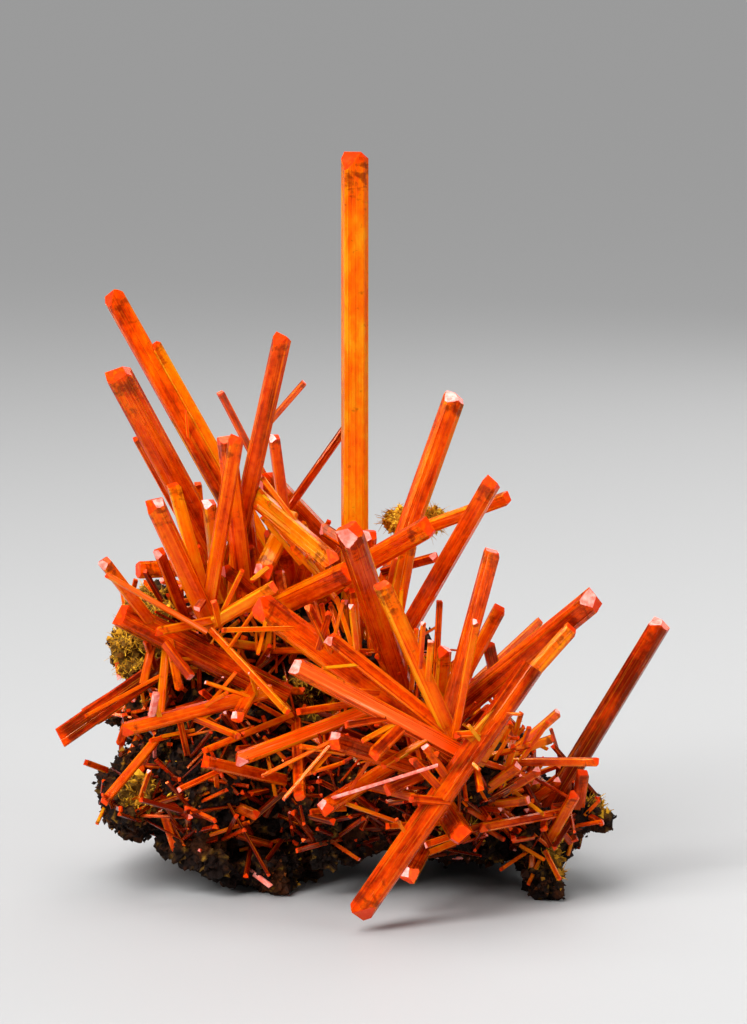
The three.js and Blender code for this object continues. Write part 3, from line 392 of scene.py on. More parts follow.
def ribs_between(rng, start, end, width):
    """Stations of the ribs along one side of a section: place, inward direction, two depths, where along
    the crystal the depth changes, and painted light or shade."""
    along = end - start
    inward = Vector((-along.y, along.x)).normalized()
    count = max(1, round(along.length / RIB_PITCH))
    edges = [0.0] + sorted(rng.uniform(0.04, 0.96) for _ in range(count - 1)) + [1.0]
    stations = []
    # painted light and shade: each long face is painted a random share lighter or darker, each rib a little
    # more
    painted_face_light = rng.uniform(-0.45, 0.4)
    for low, high in zip(edges, edges[1:]):
        slope = RIB_SLOPE * (high - low)
        depths = (rng.random() ** 2 * RIB_STEP * width, rng.random() ** 2 * RIB_STEP * width)
        change = rng.random()
        painted_light = painted_face_light + rng.uniform(-0.2, 0.2)
        for share in (low + slope, high - slope):
            stations.append((start + along * share, inward, depths, change, painted_light))
    return stations


def section(rng, width, thickness):
    """Stations round a nearly square section with bevelled edges and ribbed faces."""
    x, y = width / 2, thickness / 2
    plain, wide, narrow = (share * thickness for share in BEVELS)
    half = [(-x + plain, -y), (x - wide, -y), (x, -y + narrow), (x, y - plain)]
    corners = [Vector(corner) for corner in half] + [-Vector(corner) for corner in half]
    stations = []
    for corner, after in zip(corners, corners[1:] + corners[:1]):
        # painted highlight: each long edge is painted lighter than the faces
        stations.append((corner, Vector((0, 0)), (0, 0), 0, PAINTED_EDGE_LIGHT))
        if (after - corner).length > 2 * RIB_PITCH:
            stations += ribs_between(rng, corner, after, width)
    return stations


def cut_facet(form, turn, slope, off_middle, width, length):
    """Cuts the far end of a crystal by one facet and closes it."""
    lean = math.radians(slope)
    sideways = Vector((math.cos(math.radians(turn)), math.sin(math.radians(turn)), 0))
    outward = sideways * math.sin(lean) + Vector((0, 0, math.cos(lean)))
    start = sideways * off_middle * width + Vector((0, 0, length))
    everything = form.verts[:] + form.edges[:] + form.faces[:]
    cut = bmesh.ops.bisect_plane(
        form, geom=everything, plane_co=start, plane_no=outward, clear_outer=True
    )
    edges = [part for part in cut["geom_cut"] if isinstance(part, bmesh.types.BMEdge)]
    if len(edges) < 3:
        return
    for face in bmesh.ops.contextual_create(form, geom=edges)["faces"]:
        face.material_index = FACET


def crystal_form(rng, width, thickness, length, end):
    """A crystal in its own frame, grown along +Z from its root."""
    form = bmesh.new()
    painted_light = form.verts.layers.float.new("painted_light")
    stations = section(rng, width, thickness)
    steps = max(1, round(length / RING_PITCH))
    rings = [[] for _ in range(steps + 1)]
    for step, ring in enumerate(rings):
        share = step / steps
        for start, inward, depths, change, station_painted_light in stations:
            x, y = start + inward * depths[share >= change]
            ring.append(form.verts.new((x, y, share * (length + width))))
            ring[-1][painted_light] = station_painted_light
    for lower, upper in zip(rings, rings[1:]):
        for index in range(len(stations)):
            after = (index + 1) % len(stations)
            form.faces.new((lower[index], lower[after], upper[after], upper[index]))
    form.faces.new(rings[0][::-1])
    form.faces.new(rings[-1])
    for facet in end:
        cut_facet(form, *facet, width, length)
    for turn in CHIP_TURNS:
        if rng.random() < CHIP_CHANCE:
            turn += rng.uniform(-15, 15)
            cut_facet(form, turn, rng.uniform(50, 66), CHIP_START, width, length)
    form.normal_update()
    form.verts.index_update()
    return form


def lay(root, tip, roll):
    """The pose that lays a crystal, grown along +Z, from its root towards its tip."""
    axis = (tip - root).normalized()
    across = axis.cross(FORWARD).normalized()
    away = axis.cross(across).normalized()
    basis = Matrix((across, away, axis)).transposed().to_4x4()
    return Matrix.Translation(root) @ basis @ Matrix.Rotation(math.radians(roll), 4, "Z")


def paint_highlights(form, pose, painted_shine):
    """Paints pale, as highlights, the end facet that looks most towards the light, at level 2 also the long
    faces that do so with a streaky sheen, and at level 3 all long faces."""
    towards = {face: (pose.to_3x3() @ face.normal).dot(PAINTED_HIGHLIGHT_WAY) for face in form.faces}
    ends = [face for face in form.faces if face.material_index == FACET]
    if ends:
        max(ends, key=towards.get).material_index = PAINTED_HIGHLIGHT
    sides = [face for face in form.faces if face.material_index == SIDE]
    best = max(towards[face] for face in sides)
    for face in sides:
        if painted_shine == 3:
            face.material_index = PAINTED_HIGHLIGHT
        elif painted_shine == 2 and towards[face] > best - PAINTED_SHEEN_SPREAD:
            face.material_index = PAINTED_SHEEN


def grow(growth, rng, root, tip, width, flat, roll, end, tone, painted_shine=0):
    """Adds one crystal to a piece."""
    length = (tip - root).length
    form = crystal_form(rng, width, width * flat, length, end)
    shift = Vector([rng.uniform(0, VEIL_SHIFT) for _ in range(3)])
    pose = lay(root, tip, roll)
    if painted_shine:
        paint_highlights(form, pose, painted_shine)
    first = len(growth.points)
    painted_light = form.verts.layers.float["painted_light"]
    for vert in form.verts:
        below_tip = (length - vert.co.z) / width
        growth.point(pose @ vert.co, vert.co + shift, below_tip, tone, vert[painted_light])
    for face in form.faces:
        growth.face(first, [vert.index for vert in face.verts], face.material_index)
    form.free()


def grow_listed(name, crystals):
    """One piece of crystals whose places and sizes are listed."""
    rng = random.Random(name)
    growth = Growth()
    for tip, root, *form_and_look in crystals:
        grow(growth, rng, place(*root), place(*tip), *form_and_look)
    return growth.piece(name, crocoites, "crocoite")


def node_crystals():
    """One piece for every solid of crystals."""
    for name, crystals in CRYSTALS.items():
        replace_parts(grow_listed(name + "_grown", crystals), name)


def heart_crystals():
    """The crystals in the middle, whose rolls and ends change from each to the next."""
    crystals = []
    for index, (tip, root, width, *look) in enumerate(HEART_CRYSTALS):
        roll = (37 * index) % 40 - 15
        end = (WEDGE, SLANT)[index % 2]
        crystals.append((tip, root, width, HEART_THICKNESS, roll, end, *look))
    grow_listed("heart_crystals", crystals)


# ---- solids as ground

def tree_of(names):
    """A search tree over CAD solids, in mm."""
    points, faces = [], []
    for name in names:
        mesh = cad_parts[name].data
        first = len(points)
        points += [vert.co / MM for vert in mesh.vertices]
        faces += [[first + index for index in face.vertices] for face in mesh.polygons]
    return BVHTree.FromPolygons(points, faces)


ALL_SOLIDS = tree_of(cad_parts)
ROCK_SOLID = tree_of(["gossan_matrix"])


def seen_point(across, up, tree=ALL_SOLIDS):
    """The nearest point of the solids that a viewer in front sees at a place, or nothing."""
    return tree.ray_cast(EYE, sight(across, up).normalized())[0]


def seen_with_solids(point):
    """Whether a viewer in front sees the solids before or behind a point."""
    return ALL_SOLIDS.ray_cast(EYE, (point - EYE).normalized())[0] is not None


def random_direction(rng):
    return Vector((rng.gauss(0, 1), rng.gauss(0, 1), rng.gauss(0, 1))).normalized()


class Skin:
    """The skin of a CAD solid, from which random points are drawn evenly, in mm."""

    def __init__(self, node):
        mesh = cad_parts[node].data
        mesh.calc_loop_triangles()
        points = [vert.co / MM for vert in mesh.vertices]
        self.triangles = [[points[index] for index in one.vertices] for one in mesh.loop_triangles]
        areas = ((b - a).cross(c - a).length for a, b, c in self.triangles)
        self.reach = list(itertools.accumulate(areas))

    def draw(self, rng):
        """A random point and the skin's direction there."""
        a, b, c = rng.choices(self.triangles, cum_weights=self.reach)[0]
        u, v = sorted((rng.random(), rng.random()))
        return a * u + b * (v - u) + c * (1 - v), (b - a).cross(c - a).normalized()

    def samples(self, rng, count, keep):
        """As many random points that a test keeps, with the skin's direction at each."""
        drawn = (self.draw(rng) for _ in itertools.count())
        return list(itertools.islice((one for one in drawn if keep(*one)), count))


ROCK_SKIN = Skin("gossan_matrix")

# ---- gossan

ROCK_VOXEL = 0.55  # mm
CRAGS = [  # across, up, radius of the lumps that hang below the solid, between its feet
    (-17.6, 4.4, 3.1), (-20.6, 5.6, 3.4), (-24, 7, 3), (-27, 8, 2.6), (-5.6, 4.6, 3), (-2.6, 6, 2.8),
    (2, 6.4, 2.6), (-9, 3.6, 2.4), (24.6, 7, 2.8),
]
OCHRE_PATCHES = [  # across, up, radius
    (-32, 41, 8.5), (-33, 47, 6.5), (-32.5, 16.5, 4.5), (-4.5, 32.5, 5), (35, 6.1, 3.5), (41, 15, 3.5),
    (-24, 35, 3), (20, 12, 2.5),
]
BACK_OCHRE = [(-25, 30, 35, 8), (12, 28, 25, 7), (-8, 34, 48, 6), (30, 22, 20, 6)]  # x, y, z, radius
GROUND_GAP = 0.02  # mm that the gossan keeps above the ground


def ochre_centres():
    """Middles and radii of the ochre patches, in mm."""
    seen = [(seen_point(across, up, ROCK_SOLID), radius) for across, up, radius in OCHRE_PATCHES]
    behind = [(ROCK_SOLID.find_nearest(Vector(where))[0], radius) for *where, radius in BACK_OCHRE]
    return [(middle, radius) for middle, radius in seen + behind if middle]


OCHRE_CENTRES = ochre_centres()


def ochre_at(point):
    """How much ochre there is at a point of the gossan, from 0 to 1."""
    ragged = 2.2 * noise.fractal(point * 0.35, 0.6, 2.1, 4)
    most = max((radius - (point - middle).length + ragged) / 2 for middle, radius in OCHRE_CENTRES)
    speckle = noise.fractal(point * 0.5 + Vector((40, 7, 3)), 0.5, 2.2, 4) - 0.42
    return max(0.0, min(1.0, max(most, 3 * speckle)))


def crumbled(point, normal):
    """A point of the gossan's skin, moved in and out to make it ragged and pitted, in mm."""
    broad = 1.1 * noise.fractal(point * 0.16, 0.8, 2.0, 3)
    lumps = 1.2 * noise.fractal(point * 0.42 + Vector((9, 0, 4)), 0.5, 2.1, 4) - 0.2
    cells = noise.voronoi(point * 0.5, distance_metric="DISTANCE", exponent=2)[0]
    pits = -2.2 * max(0.0, 0.4 - cells[0]) / 0.4
    grains = 0.3 * noise.noise(point * 2.6)
    moved = point + normal * (broad + lumps + pits + grains)
    moved.z = max(moved.z, GROUND_GAP)
    return moved


def rock_mesh():
    """The gossan's solid with lumps on its underside, made of small even faces."""
    form = bmesh.new()
    form.from_mesh(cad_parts["gossan_matrix"].data)
    for across, up, radius in CRAGS:
        front = seen_point(across, up + radius + 1, ROCK_SOLID)
        middle = place(across, up, front.y - SHIFT.y + radius)
        where = Matrix.Translation(middle * MM)
        bmesh.ops.create_icosphere(form, subdivisions=2, radius=radius * MM, matrix=where)
    rough = add_object("rough", bpy.data.meshes.new("rough"))
    form.to_mesh(rough.data)
    form.free()
    remesh = rough.modifiers.new("remesh", "REMESH")
    remesh.mode = "VOXEL"
    remesh.voxel_size = ROCK_VOXEL * MM
    made = rough.evaluated_get(bpy.context.evaluated_depsgraph_get())
    mesh = bpy.data.meshes.new_from_object(made)
    bpy.data.objects.remove(rough)
    return mesh


def gossan_piece():
    """The gossan, crumbled, with its ochre marked."""
    mesh = rock_mesh()
    mesh.name = "gossan_rock"
    skin = [(vert.co / MM, vert.normal.copy()) for vert in mesh.vertices]
    ragged = [crumbled(point, normal) * MM for point, normal in skin]
    mesh.vertices.foreach_set("co", list(itertools.chain(*ragged)))
    ochre = [ochre_at(point) for point, _ in skin]
    mesh.attributes.new("ochre", "FLOAT", "POINT").data.foreach_set("value", ochre)
    mesh.materials.clear()
    mesh.materials.append(gossan)
    piece = add_object("gossan_rock", mesh)
    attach(piece, "root")
    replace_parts(piece, "gossan_matrix")


# ---- small crystals

SUNK_ROOT = 0.8  # mm of a scattered crystal that are in the gossan
TIP_MARGIN = 1  # mm beyond a scattered crystal's tip that still have to be seen with the solids
LOWEST_TIP = 1.5  # mm above the ground
PAINTED_SHADE_BELOW, PAINTED_SHADE_DEPTH = 28, 0.6  # painted shade: scattered crystals less than 28 mm up are darker in tone, by up to 0.6
SEEN_PAINTED_HIGHLIGHT, SCATTERED_PAINTED_HIGHLIGHT = 0.25, 0.12  # shares of small crystals with an end facet painted pale as a highlight
BRIGHT, BRIGHTEST = 0.84, 0.94  # seen small crystals lighter in tone than these get a painted sheen on their most lit long faces, or all long faces painted pale, as highlights
SEAT = 0.3  # mm that the root of a seen small crystal lies in what is behind it


def seen_small_crystals():
    """The small crystals seen on the front, each on what lies behind its root."""
    rng = random.Random("small")
    growth = Growth()
    for *tip, root_across, root_up, width, rise, tone in SMALL_CRYSTALS:
        hit = seen_point(root_across, root_up)
        if hit is None:
            continue
        back = hit.y - SHIFT.y
        root = place(root_across, root_up, back + SEAT)
        tip = place(*tip, back - rise)
        end = rng.choice([WEDGE, SLANT])
        # painted highlights: the lightest small crystals get pale faces where they would mirror the light
        painted_shine = 3 if tone > BRIGHTEST else 2 if tone > BRIGHT else int(rng.random() < SEEN_PAINTED_HIGHLIGHT)
        grow(growth, rng, root, tip, width, SMALL_THICKNESS, rng.uniform(0, 40), end, tone, painted_shine)
    growth.piece("seen_small_crystals", crocoites, "crocoite")


def scattered_crystals(name, count, lengths, widths, tones, outward, keep):
    """Small crystals that grow at random from the gossan, lying on it or standing out from it."""
    rng = random.Random(name)
    growth = Growth()
    for point, normal in ROCK_SKIN.samples(rng, count, keep):
        length = rng.uniform(*lengths) * (0.5 + 0.5 * rng.random())
        free = random_direction(rng)
        along = (free - normal * free.dot(normal)).normalized()
        direction = (along + normal * rng.uniform(*outward)).normalized()
        tip = point + direction * length
        seen = all(seen_with_solids(tip - direction * part) for part in (-TIP_MARGIN, length / 2))
        if tip.z < LOWEST_TIP or ochre_at(point) > 0.5 or not seen:
            continue
        root = point - direction * SUNK_ROOT
        width = rng.uniform(*widths)
        end = rng.choice([WEDGE, SLANT, SLANT])
        # painted shade: darker in tone the lower it grows; some get an end facet painted pale as a
        # highlight
        tone = rng.uniform(*tones) - PAINTED_SHADE_DEPTH * max(0.0, 1 - point.z / PAINTED_SHADE_BELOW)
        painted_shine = int(rng.random() < SCATTERED_PAINTED_HIGHLIGHT)
        flat = rng.uniform(0.6, 0.9)
        grow(growth, rng, root, tip, width, flat, rng.uniform(0, 90), end, tone, painted_shine)
    growth.piece(name, crocoites, "crocoite")


def on_top(point, normal):
    return point.z > 28 and point.y < 20


def on_front(point, normal):
    return normal.y < 0.2 and 5 < point.z <= 40


def on_lower_right(point, normal):
    return normal.y < 0.3 and point.x > 6 and 9 < point.z < 38


def on_back(point, normal):
    return point.z > 9 and normal.y > 0.1


def anywhere(point, normal):
    return point.z > 7


# Scattered crystals: name, how many are tried, the ranges of their lengths, before each is shortened by
# up to half, of their widths, tones and leans away from the gossan, and where they grow.
SCATTERED = [
    ("top", 90, (5, 15), (0.5, 1.5), (0.2, 0.6), (0.2, 1.6), on_top),
    # painted shade: the front ones get low tones, darker as if in shade
    ("front", 640, (4, 15), (0.3, 1), (-0.6, 0.1), (-0.15, 0.4), on_front),
    ("right", 170, (5, 15), (0.5, 1.4), (0, 0.55), (-0.1, 0.5), on_lower_right),
    ("other", 640, (4, 12), (0.35, 1.2), (-0.25, 0.4), (-0.1, 0.7), anywhere),
    ("back", 110, (7, 17), (0.8, 2.2), (-0.1, 0.5), (0, 1.2), on_back),
]

# ---- crumbs and ochre fibres

CRUMB = [Vector(way) for way in ((1, 0, 0), (0, 1, 0), (-1, 0, 0), (0, -1, 0), (0, 0, 1), (0, 0, -1))]
CRUMB_FACES = [(0, 1, 4), (1, 2, 4), (2, 3, 4), (3, 0, 4), (1, 0, 5), (2, 1, 5), (3, 2, 5), (0, 3, 5)]
FIBRE_STEPS = 3
ROCK_CRUMBS, PATCH_FIBRES, TUFT_CRUMBS, TUFT_FIBRES = 14000, 3000, 3200, 1500  # how many


def add_fibre(growth, rng, root, direction, length, thickness):
    """A short bent fibre of four sides that thins towards its end."""
    bend = random_direction(rng) * 0.5
    side = direction.orthogonal().normalized()
    other = direction.cross(side)
    first = len(growth.points)
    for step in range(FIBRE_STEPS + 1):
        share = step / FIBRE_STEPS
        middle = root + (direction + bend * share) * (length * share)
        radius = thickness * (1 - 0.7 * share) / 2
        for x, y in ((1, 0), (0, 1), (-1, 0), (0, -1)):
            growth.point(middle + (side * x + other * y) * radius, middle, share, rng.random(), 0)
    for ring in range(0, 4 * FIBRE_STEPS, 4):
        for corner in range(4):
            after = (corner + 1) % 4
            growth.face(first + ring, (corner, after, 4 + after, 4 + corner))
    growth.face(first, (3, 2, 1, 0))
    growth.face(first + 4 * FIBRE_STEPS, (0, 1, 2, 3))


def add_crumb(growth, rng, middle, size, tone):
    """An irregular grain of eight faces."""
    first = len(growth.points)
    turn = random_direction(rng).to_track_quat("Z", "Y").to_matrix()
    stretch = Vector((rng.uniform(0.6, 1.3), rng.uniform(0.6, 1.3), rng.uniform(0.5, 1.1)))
    for way in CRUMB:
        corner = way * stretch + 0.3 * random_direction(rng)
        growth.point(middle + turn @ corner * (size / 2), middle, 0, tone, 0)
    for face in CRUMB_FACES:
        growth.face(first, face)


def rock_crumbs():
    """Dark crumbs all over the gossan and ochre ones on its patches."""
    rng = random.Random("crumbs")
    dark, ochre = Growth(), Growth()
    for point, normal in ROCK_SKIN.samples(rng, ROCK_CRUMBS, lambda point, normal: point.z > 1):
        moved = crumbled(point, normal) + normal * rng.uniform(-0.15, 0.3)
        size = rng.uniform(0.3, 0.8) * (1 + rng.random() ** 6 * 2)
        if moved.z < size:
            continue
        if ochre_at(point) > rng.uniform(0.3, 0.9):
            add_crumb(ochre, rng, moved, size, rng.random() * 0.75)
        else:
            add_crumb(dark, rng, moved, size, rng.random() ** 1.5)
    dark.piece("gossan_crumbs", [crumbs], "gossan")
    ochre.piece("ochre_crumbs", [limonite], "limonite")


def in_patch(point, normal):
    near = any((point - middle).length < radius + 1 for middle, radius in OCHRE_CENTRES)
    return near and point.z > 3 and ochre_at(point) > 0.75


def patch_fibres():
    """Ochre fibres on the patches of the gossan."""
    rng = random.Random("patch fibres")
    growth = Growth()
    for point, normal in ROCK_SKIN.samples(rng, PATCH_FIBRES, in_patch):
        direction = (normal + 0.9 * random_direction(rng)).normalized()
        root = crumbled(point, normal) - direction * 0.2
        add_fibre(growth, rng, root, direction, rng.uniform(0.5, 1.5), rng.uniform(0.12, 0.3))
    growth.piece("ochre_fibres", [limonite], "limonite")


def ragged_tuft(point, normal):
    return point + normal * (1.7 * noise.fractal(point * 0.5, 0.5, 2.1, 4) - 0.3)


def tuft_piece():
    """The ochre tuft: grains and fibres all over its solid, in place of it."""
    rng = random.Random("tuft")
    growth = Growth()
    skin = Skin("limonite_tuft")
    for _ in range(TUFT_CRUMBS):
        point, normal = skin.draw(rng)
        middle = ragged_tuft(point, normal) + normal * rng.uniform(-0.7, 0.5)
        add_crumb(growth, rng, middle, rng.uniform(0.3, 0.9), rng.random() ** 0.4)
    for _ in range(TUFT_FIBRES):
        point, normal = skin.draw(rng)
        direction = (normal + 1.1 * random_direction(rng)).normalized()
        length = rng.uniform(0.5, 1.1) * (1 + rng.random() ** 6)
        add_fibre(growth, rng, ragged_tuft(point, normal), direction, length, rng.uniform(0.1, 0.25))
    piece = growth.piece("limonite_tuft_fibres", [limonite], "limonite")
    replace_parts(piece, "limonite_tuft")


# ---- materials

class Nodes:
    """A material's node tree, with short ways to add and join nodes."""

    def __init__(self, name):
        self.material = bpy.data.materials.new(name)
        self.material.use_nodes = True
        self.tree = self.material.node_tree
        self.shader = self.tree.nodes["Principled BSDF"]

    def give(self, node, inputs):
        """Gives each input of a node its constant, or joins it to another node's output."""
        for key, value in inputs.items():
            if isinstance(value, bpy.types.NodeSocket):
                self.tree.links.new(value, node.inputs[key])
            else:
                node.inputs[key].default_value = value

    def add(self, kind, inputs, **settings):
        node = self.tree.nodes.new("ShaderNode" + kind)
        for key, value in settings.items():
            setattr(node, key, value)
        self.give(node, inputs)
        return node

    def attribute(self, name, output="Fac"):
        return self.add("Attribute", {}, attribute_name=name).outputs[output]

    def noise(self, where, scale, stretch=(1, 1, 1), detail=4, rough=0.55, distortion=0):
        mapping = self.add("Mapping", {"Vector": where, "Scale": stretch})
        inputs = {"Vector": mapping.outputs[0], "Scale": scale, "Detail": detail}
        inputs |= {"Roughness": rough, "Distortion": distortion}
        return self.add("TexNoise", inputs).outputs["Fac"]

    def ramp(self, factor, stops):
        node = self.add("ValToRGB", {"Fac": factor})
        elements = node.color_ramp.elements
        while len(elements) < len(stops):
            elements.new(0.5)
        for element, (position, colour) in zip(elements, stops):
            element.position = position
            element.color = (*colour, 1)
        return node.outputs["Color"]

    def mix(self, factor, a, b):
        return self.add("Mix", {0: factor, 6: a, 7: b}, data_type="RGBA").outputs[2]

    def math(self, operation, a, b):
        return self.add("Math", {0: a, 1: b}, operation=operation).outputs[0]

    def sum(self, parts, value=0.0):
        """A value with shares of others added to it."""
        for part, share in parts:
            value = self.math("ADD", self.math("MULTIPLY", part, share), value)
        return value

    def band(self, value, none, full):
        """0 up to one bound, 1 beyond the other and even between them. Either may be the larger."""
        return self.add("MapRange", {"Value": value, "From Min": none, "From Max": full}).outputs[0]

    def bump(self, *layers):
        """The normal of layers laid over each other, each with its height, strength and depth."""
        over = {}
        for height, strength, depth in layers:
            inputs = {"Height": height, "Strength": strength, "Distance": depth} | over
            over = {"Normal": self.add("Bump", inputs).outputs[0]}
        return over["Normal"]

    def shade(self, colour, normal, rough, rough_range, constants):
        """The material, with its parts given to the shader. Roughness follows a value from 0 to 1."""
        low, high = rough_range
        rough = self.add("MapRange", {"Value": rough, "To Min": low, "To Max": high}).outputs[0]
        self.give(self.shader, {"Base Color": colour, "Normal": normal, "Roughness": rough} | constants)
        return self.material


CROCOITE_TONES = [
    (0, (0.15, 0.005, 0)), (0.2, (0.42, 0.018, 0)), (0.4, (0.78, 0.055, 0)),
    (0.6, (0.98, 0.12, 0)), (0.8, (1, 0.205, 0)), (1, (1, 0.34, 0.005)),
]
THREAD = (1, 0.27, 0.01, 1)
CAP_RED = (0.92, 0.055, 0, 1)
INCLUSION = (0.17, 0.009, 0.001, 1)
FACET_TONES = [(0.3, (0.9, 0.11, 0)), (0.5, (0.92, 0.04, 0.002)), (0.75, (1, 0.08, 0.01))]
# painted highlights: pale pink on faces and a streaky pale orange sheen on long faces
PAINTED_HIGHLIGHT_PINK = [(0.3, (1, 0.11, 0.06)), (0.5, (1, 0.24, 0.18)), (0.68, (1, 0.42, 0.36))]
PAINTED_SHEEN_ORANGE = [(0.5, (0.9, 0.07, 0.001)), (0.62, (1, 0.13, 0.01)), (0.72, (1, 0.36, 0.2))]
ROCK_TONES = [
    (0.3, (0.003, 0.001, 0.0005)), (0.5, (0.008, 0.0025, 0.001)), (0.72, (0.03, 0.009, 0.002)),
]
RUST_TONES = [(0.3, (0.02, 0.005, 0.001)), (0.7, (0.11, 0.024, 0.002))]
STAIN_TONES = [(0.25, (0.03, 0.011, 0.002)), (0.5, (0.15, 0.065, 0.006)), (0.75, (0.36, 0.18, 0.015))]
CRUMB_TONES = [
    (0, (0.003, 0.001, 0.0005)), (0.5, (0.01, 0.003, 0.001)), (0.8, (0.05, 0.012, 0.001)),
    (1, (0.18, 0.04, 0.003)),
]
OCHRE_TONES = [
    (0, (0.16, 0.05, 0.004)), (0.4, (0.5, 0.22, 0.012)), (0.7, (0.85, 0.45, 0.02)), (1, (1, 0.66, 0.05)),
]
WHITE = (1, 1, 1, 1)
REDDISH = (1, 0.35, 0.08, 1)  # tint of what most faces of crystals mirror
ORANGE = (1, 0.35, 0.12, 1)  # and of what the long faces with the painted streaky sheen mirror
FLOOR_GREY = (0.43, 0.43, 0.43, 1)


def crocoite_colour(nodes, grown):
    """Red, orange and amber in veils, clouds and fine threads, by the crystal's tone, under a red cap, with
    painted light and shade.
    """
    below_tip = nodes.attribute("below_tip")
    veils = nodes.noise(grown, 0.38, (1, 1, 0.3), detail=3, rough=0.5, distortion=0.2)
    clouds = nodes.noise(grown, 0.9, (1, 1, 0.7), detail=5, rough=0.6, distortion=0.5)
    streaks = nodes.noise(grown, 2, (1, 1, 0.02), detail=2)
    # painted shade: darker further below the tip, towards the root; painted light and shade from the
    # painted_light mark
    parts = [
        (veils, 1.1), (clouds, 0.6), (streaks, 0.35), (nodes.band(below_tip, 3, 14), -0.1),
        (nodes.attribute("tone"), 0.85), (nodes.attribute("painted_light"), 0.3),
    ]
    colour = nodes.ramp(nodes.sum(parts, -0.87), CROCOITE_TONES)
    threads = nodes.noise(grown, 5.5, (1, 1, 0.008), detail=2)
    colour = nodes.mix(nodes.math("MULTIPLY", nodes.band(threads, 0.56, 0.7), 0.4), colour, THREAD)
    cap = nodes.band(nodes.sum([(veils, 1.6)], below_tip), 1.3, 0.7)
    return nodes.mix(cap, colour, CAP_RED)


def inclusions(nodes, grown):
    """Where dark inclusions show: in bands across the crystal under its tip, seldom further down."""
    below = nodes.attribute("below_tip")
    near = nodes.math("MULTIPLY", nodes.band(below, 0.2, 0.45), nodes.band(below, 2.4, 0.8))
    cloud = nodes.noise(grown, 1, (1, 1, 0.6), detail=3)
    bands = nodes.noise(grown, 0.8, (0.4, 0.4, 1.1), detail=3, distortion=0.8)
    reach = nodes.sum([(cloud, 0.5), (bands, 0.5), (near, 0.15)])
    return nodes.math("MULTIPLY", nodes.band(reach, 0.6, 0.72), 0.75)


def crystal_look(level, tint, clear, milky, radius, scale):
    """The shader's constants for a crystal: its shine and its tint, and how light goes through it."""
    return {
        "IOR": 1.6, "Specular IOR Level": level, "Specular Tint": tint, "Transmission Weight": clear,
        "Subsurface Weight": milky, "Subsurface Radius": radius, "Subsurface Scale": scale,
    }


def make_crocoite():
    nodes = Nodes("crocoite")
    grown = nodes.attribute("grown", "Vector")
    colour = nodes.mix(inclusions(nodes, grown), crocoite_colour(nodes, grown), INCLUSION)
    fine = nodes.noise(grown, 9, (1, 1, 0.012), detail=2)
    waves = nodes.noise(grown, 1.2, (1, 1, 0.25), detail=3)
    normal = nodes.bump((fine, 0.35, 0.00006), (waves, 0.25, 0.0002))
    rough = nodes.noise(grown, 1.5, (1, 1, 0.2))
    look = crystal_look(0.35, REDDISH, 0.25, 0.5, (1, 0.25, 0.02), 0.002)
    look |= {"Coat Weight": 0.1, "Coat Roughness": 0.04}
    return nodes.shade(colour, normal, rough, (0.05, 0.22), look)


def make_crocoite_facet():
    nodes = Nodes("crocoite_facet")
    grown = nodes.attribute("grown", "Vector")
    cloud = nodes.noise(grown, 0.9)
    normal = nodes.bump((nodes.noise(grown, 2, detail=3), 0.15, 0.0001))
    look = crystal_look(0.5, REDDISH, 0.15, 0.4, (1, 0.2, 0.02), 0.0015)
    return nodes.shade(nodes.ramp(cloud, FACET_TONES), normal, cloud, (0.1, 0.25), look)


def make_painted_highlight(name, tones, scale, stretch, tint):
    """Pale colour painted on faces as highlights, where they would mirror the light, a little frosted."""
    nodes = Nodes(name)
    grown = nodes.attribute("grown", "Vector")
    cloud = nodes.noise(grown, scale, stretch, detail=3, rough=0.5)
    normal = nodes.bump((nodes.noise(grown, 5, detail=3), 0.3, 0.0001))
    look = crystal_look(0.5, tint, 0, 0.25, (1, 0.4, 0.3), 0.001)
    return nodes.shade(nodes.ramp(cloud, tones), normal, cloud, (0.15, 0.4), look)


def make_gossan():
    nodes = Nodes("gossan")
    where = nodes.add("TexCoord", {}).outputs["Object"]
    broad = nodes.noise(where, 170, detail=5, rough=0.65)
    fine = nodes.noise(where, 900, detail=5, rough=0.7)
    rust = nodes.band(broad, 0.5, 0.7)
    base = nodes.mix(rust, nodes.ramp(broad, ROCK_TONES), nodes.ramp(fine, RUST_TONES))
    colour = nodes.mix(nodes.attribute("ochre"), base, nodes.ramp(fine, STAIN_TONES))
    normal = nodes.bump((broad, 0.5, 0.0008), (fine, 0.7, 0.0004))
    return nodes.shade(colour, normal, fine, (0.6, 0.95), {"Specular IOR Level": 0.12})


def make_grains(name, tones, spread, spots, bump, rough_range):
    """The look of crumbs and fibres, each with a tone of its own, under fine spots."""
    nodes = Nodes(name)
    fine = nodes.noise(nodes.add("TexCoord", {}).outputs["Object"], 1500, detail=3)
    colour = nodes.ramp(nodes.attribute("tone"), tones)
    colour = nodes.mix(nodes.band(fine, *spread), colour, spots)
    normal = nodes.bump((fine, *bump))
    return nodes.shade(colour, normal, fine, rough_range, {"Specular IOR Level": 0.15})


# ---- floor, light and camera

FLOOR_REACH = 15
LIT_PLACE = Vector((0, 0, 0.045))
SURROUND = 0.15  # strength of the white all around
SUN_POWER, SUN_SPREAD, SUN_TILT = 2.6, math.radians(30), (math.radians(28), math.radians(-22), 0)
SOFTBOXES = [  # name, place, size and power
    ("top", (-0.05, 0.14, 0.62), 0.42, 2.5),
    ("key", (-0.5, -0.5, 0.45), 0.3, 5),
    ("fill", (0.6, -0.45, 0.3), 0.4, 1.8),
    ("back", (0.35, 0.6, 0.45), 0.5, 1.7),
]


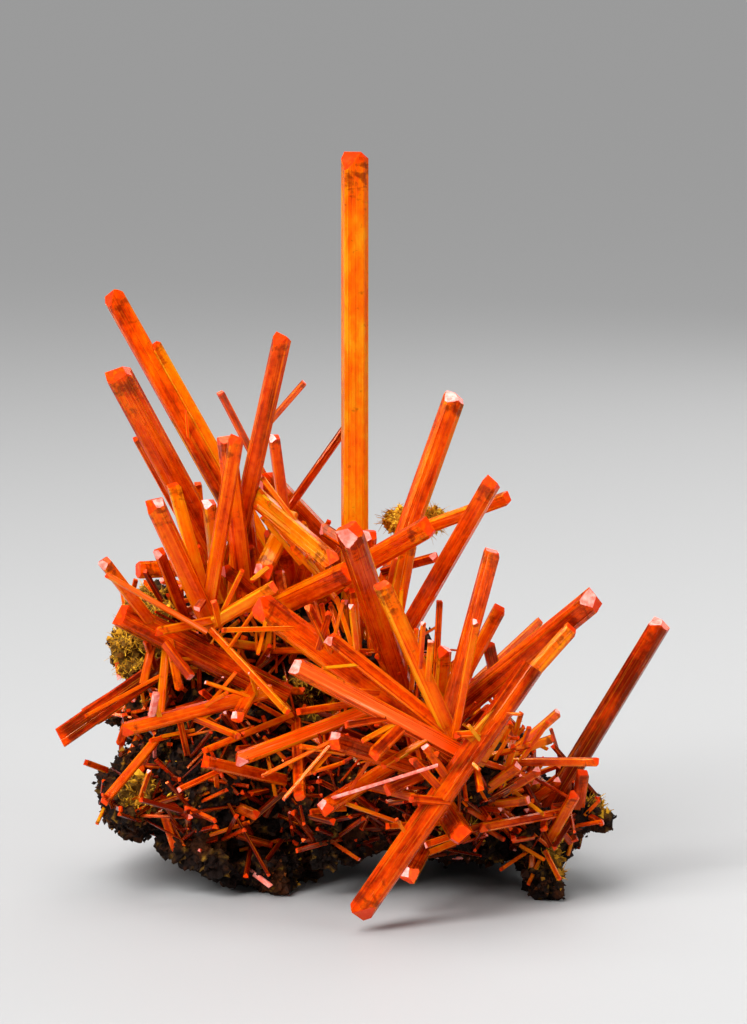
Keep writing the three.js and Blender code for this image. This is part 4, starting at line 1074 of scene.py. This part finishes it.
def make_floor():
    """A plain pale floor, far wider than the view."""
    mesh = bpy.data.meshes.new("floor")
    ways = ((-1, -1), (1, -1), (1, 1), (-1, 1))
    mesh.from_pydata([(x * FLOOR_REACH, y * FLOOR_REACH, 0) for x, y in ways], [], [(0, 1, 2, 3)])
    nodes = Nodes("floor")
    nodes.give(nodes.shader, {"Base Color": FLOOR_GREY, "Roughness": 0.55})
    mesh.materials.append(nodes.material)
    floor = add_object("floor", mesh)


def make_lights():
    """Square soft lights that face the specimen, a wide sun overhead and a dim white surround."""
    for name, where, size, power in SOFTBOXES:
        data = bpy.data.lights.new(name, "AREA")
        data.size = size
        data.energy = power
        light = add_object(name, data)
        light.location = where
        light.rotation_euler = (LIT_PLACE - light.location).to_track_quat("-Z", "Y").to_euler()
    data = bpy.data.lights.new("overhead", "SUN")
    data.energy = SUN_POWER
    data.angle = SUN_SPREAD
    add_object("overhead", data).rotation_euler = SUN_TILT
    world = bpy.data.worlds.new("world")
    world.use_nodes = True
    background = world.node_tree.nodes["Background"]
    background.inputs["Color"].default_value = WHITE
    background.inputs["Strength"].default_value = SURROUND
    bpy.context.scene.world = world


def make_camera():
    """The photo's view of the specimen, in plain colours."""
    data = bpy.data.cameras.new("camera")
    data.sensor_width = 36
    data.lens = data.sensor_width * VIEW_DISTANCE / VIEW_HEIGHT
    camera = add_object("camera", data)
    camera.location = EYE * MM
    camera.rotation_euler = (math.pi / 2 - VIEW_TILT, 0, 0)
    bpy.context.scene.camera = camera
    bpy.context.scene.view_settings.view_transform = "Standard"


make_camera()
make_floor()
make_lights()

crocoites = [
    make_crocoite(),
    make_crocoite_facet(),
    # painted highlights: faces painted pale, and long faces painted with a streaky pale sheen
    make_painted_highlight("crocoite_painted_highlight", PAINTED_HIGHLIGHT_PINK, 0.9, (1, 1, 1), WHITE),
    make_painted_highlight("crocoite_painted_sheen", PAINTED_SHEEN_ORANGE, 2.2, (1, 1, 0.03), ORANGE),
]
gossan = make_gossan()
crumbs = make_grains(
    "gossan_crumbs", CRUMB_TONES, (0.5, 0.9), (0.06, 0.018, 0.002, 1), (0.5, 0.0002), (0.5, 0.9)
)
limonite = make_grains(
    "limonite", OCHRE_TONES, (0.6, 0.95), (0.14, 0.045, 0.005, 1), (0.4, 0.0001), (0.8, 1)
)

node_crystals()
heart_crystals()
gossan_piece()
rock_crumbs()
seen_small_crystals()
for name, *how in SCATTERED:
    scattered_crystals(name + "_small_crystals", *how)
patch_fibres()
tuft_piece()
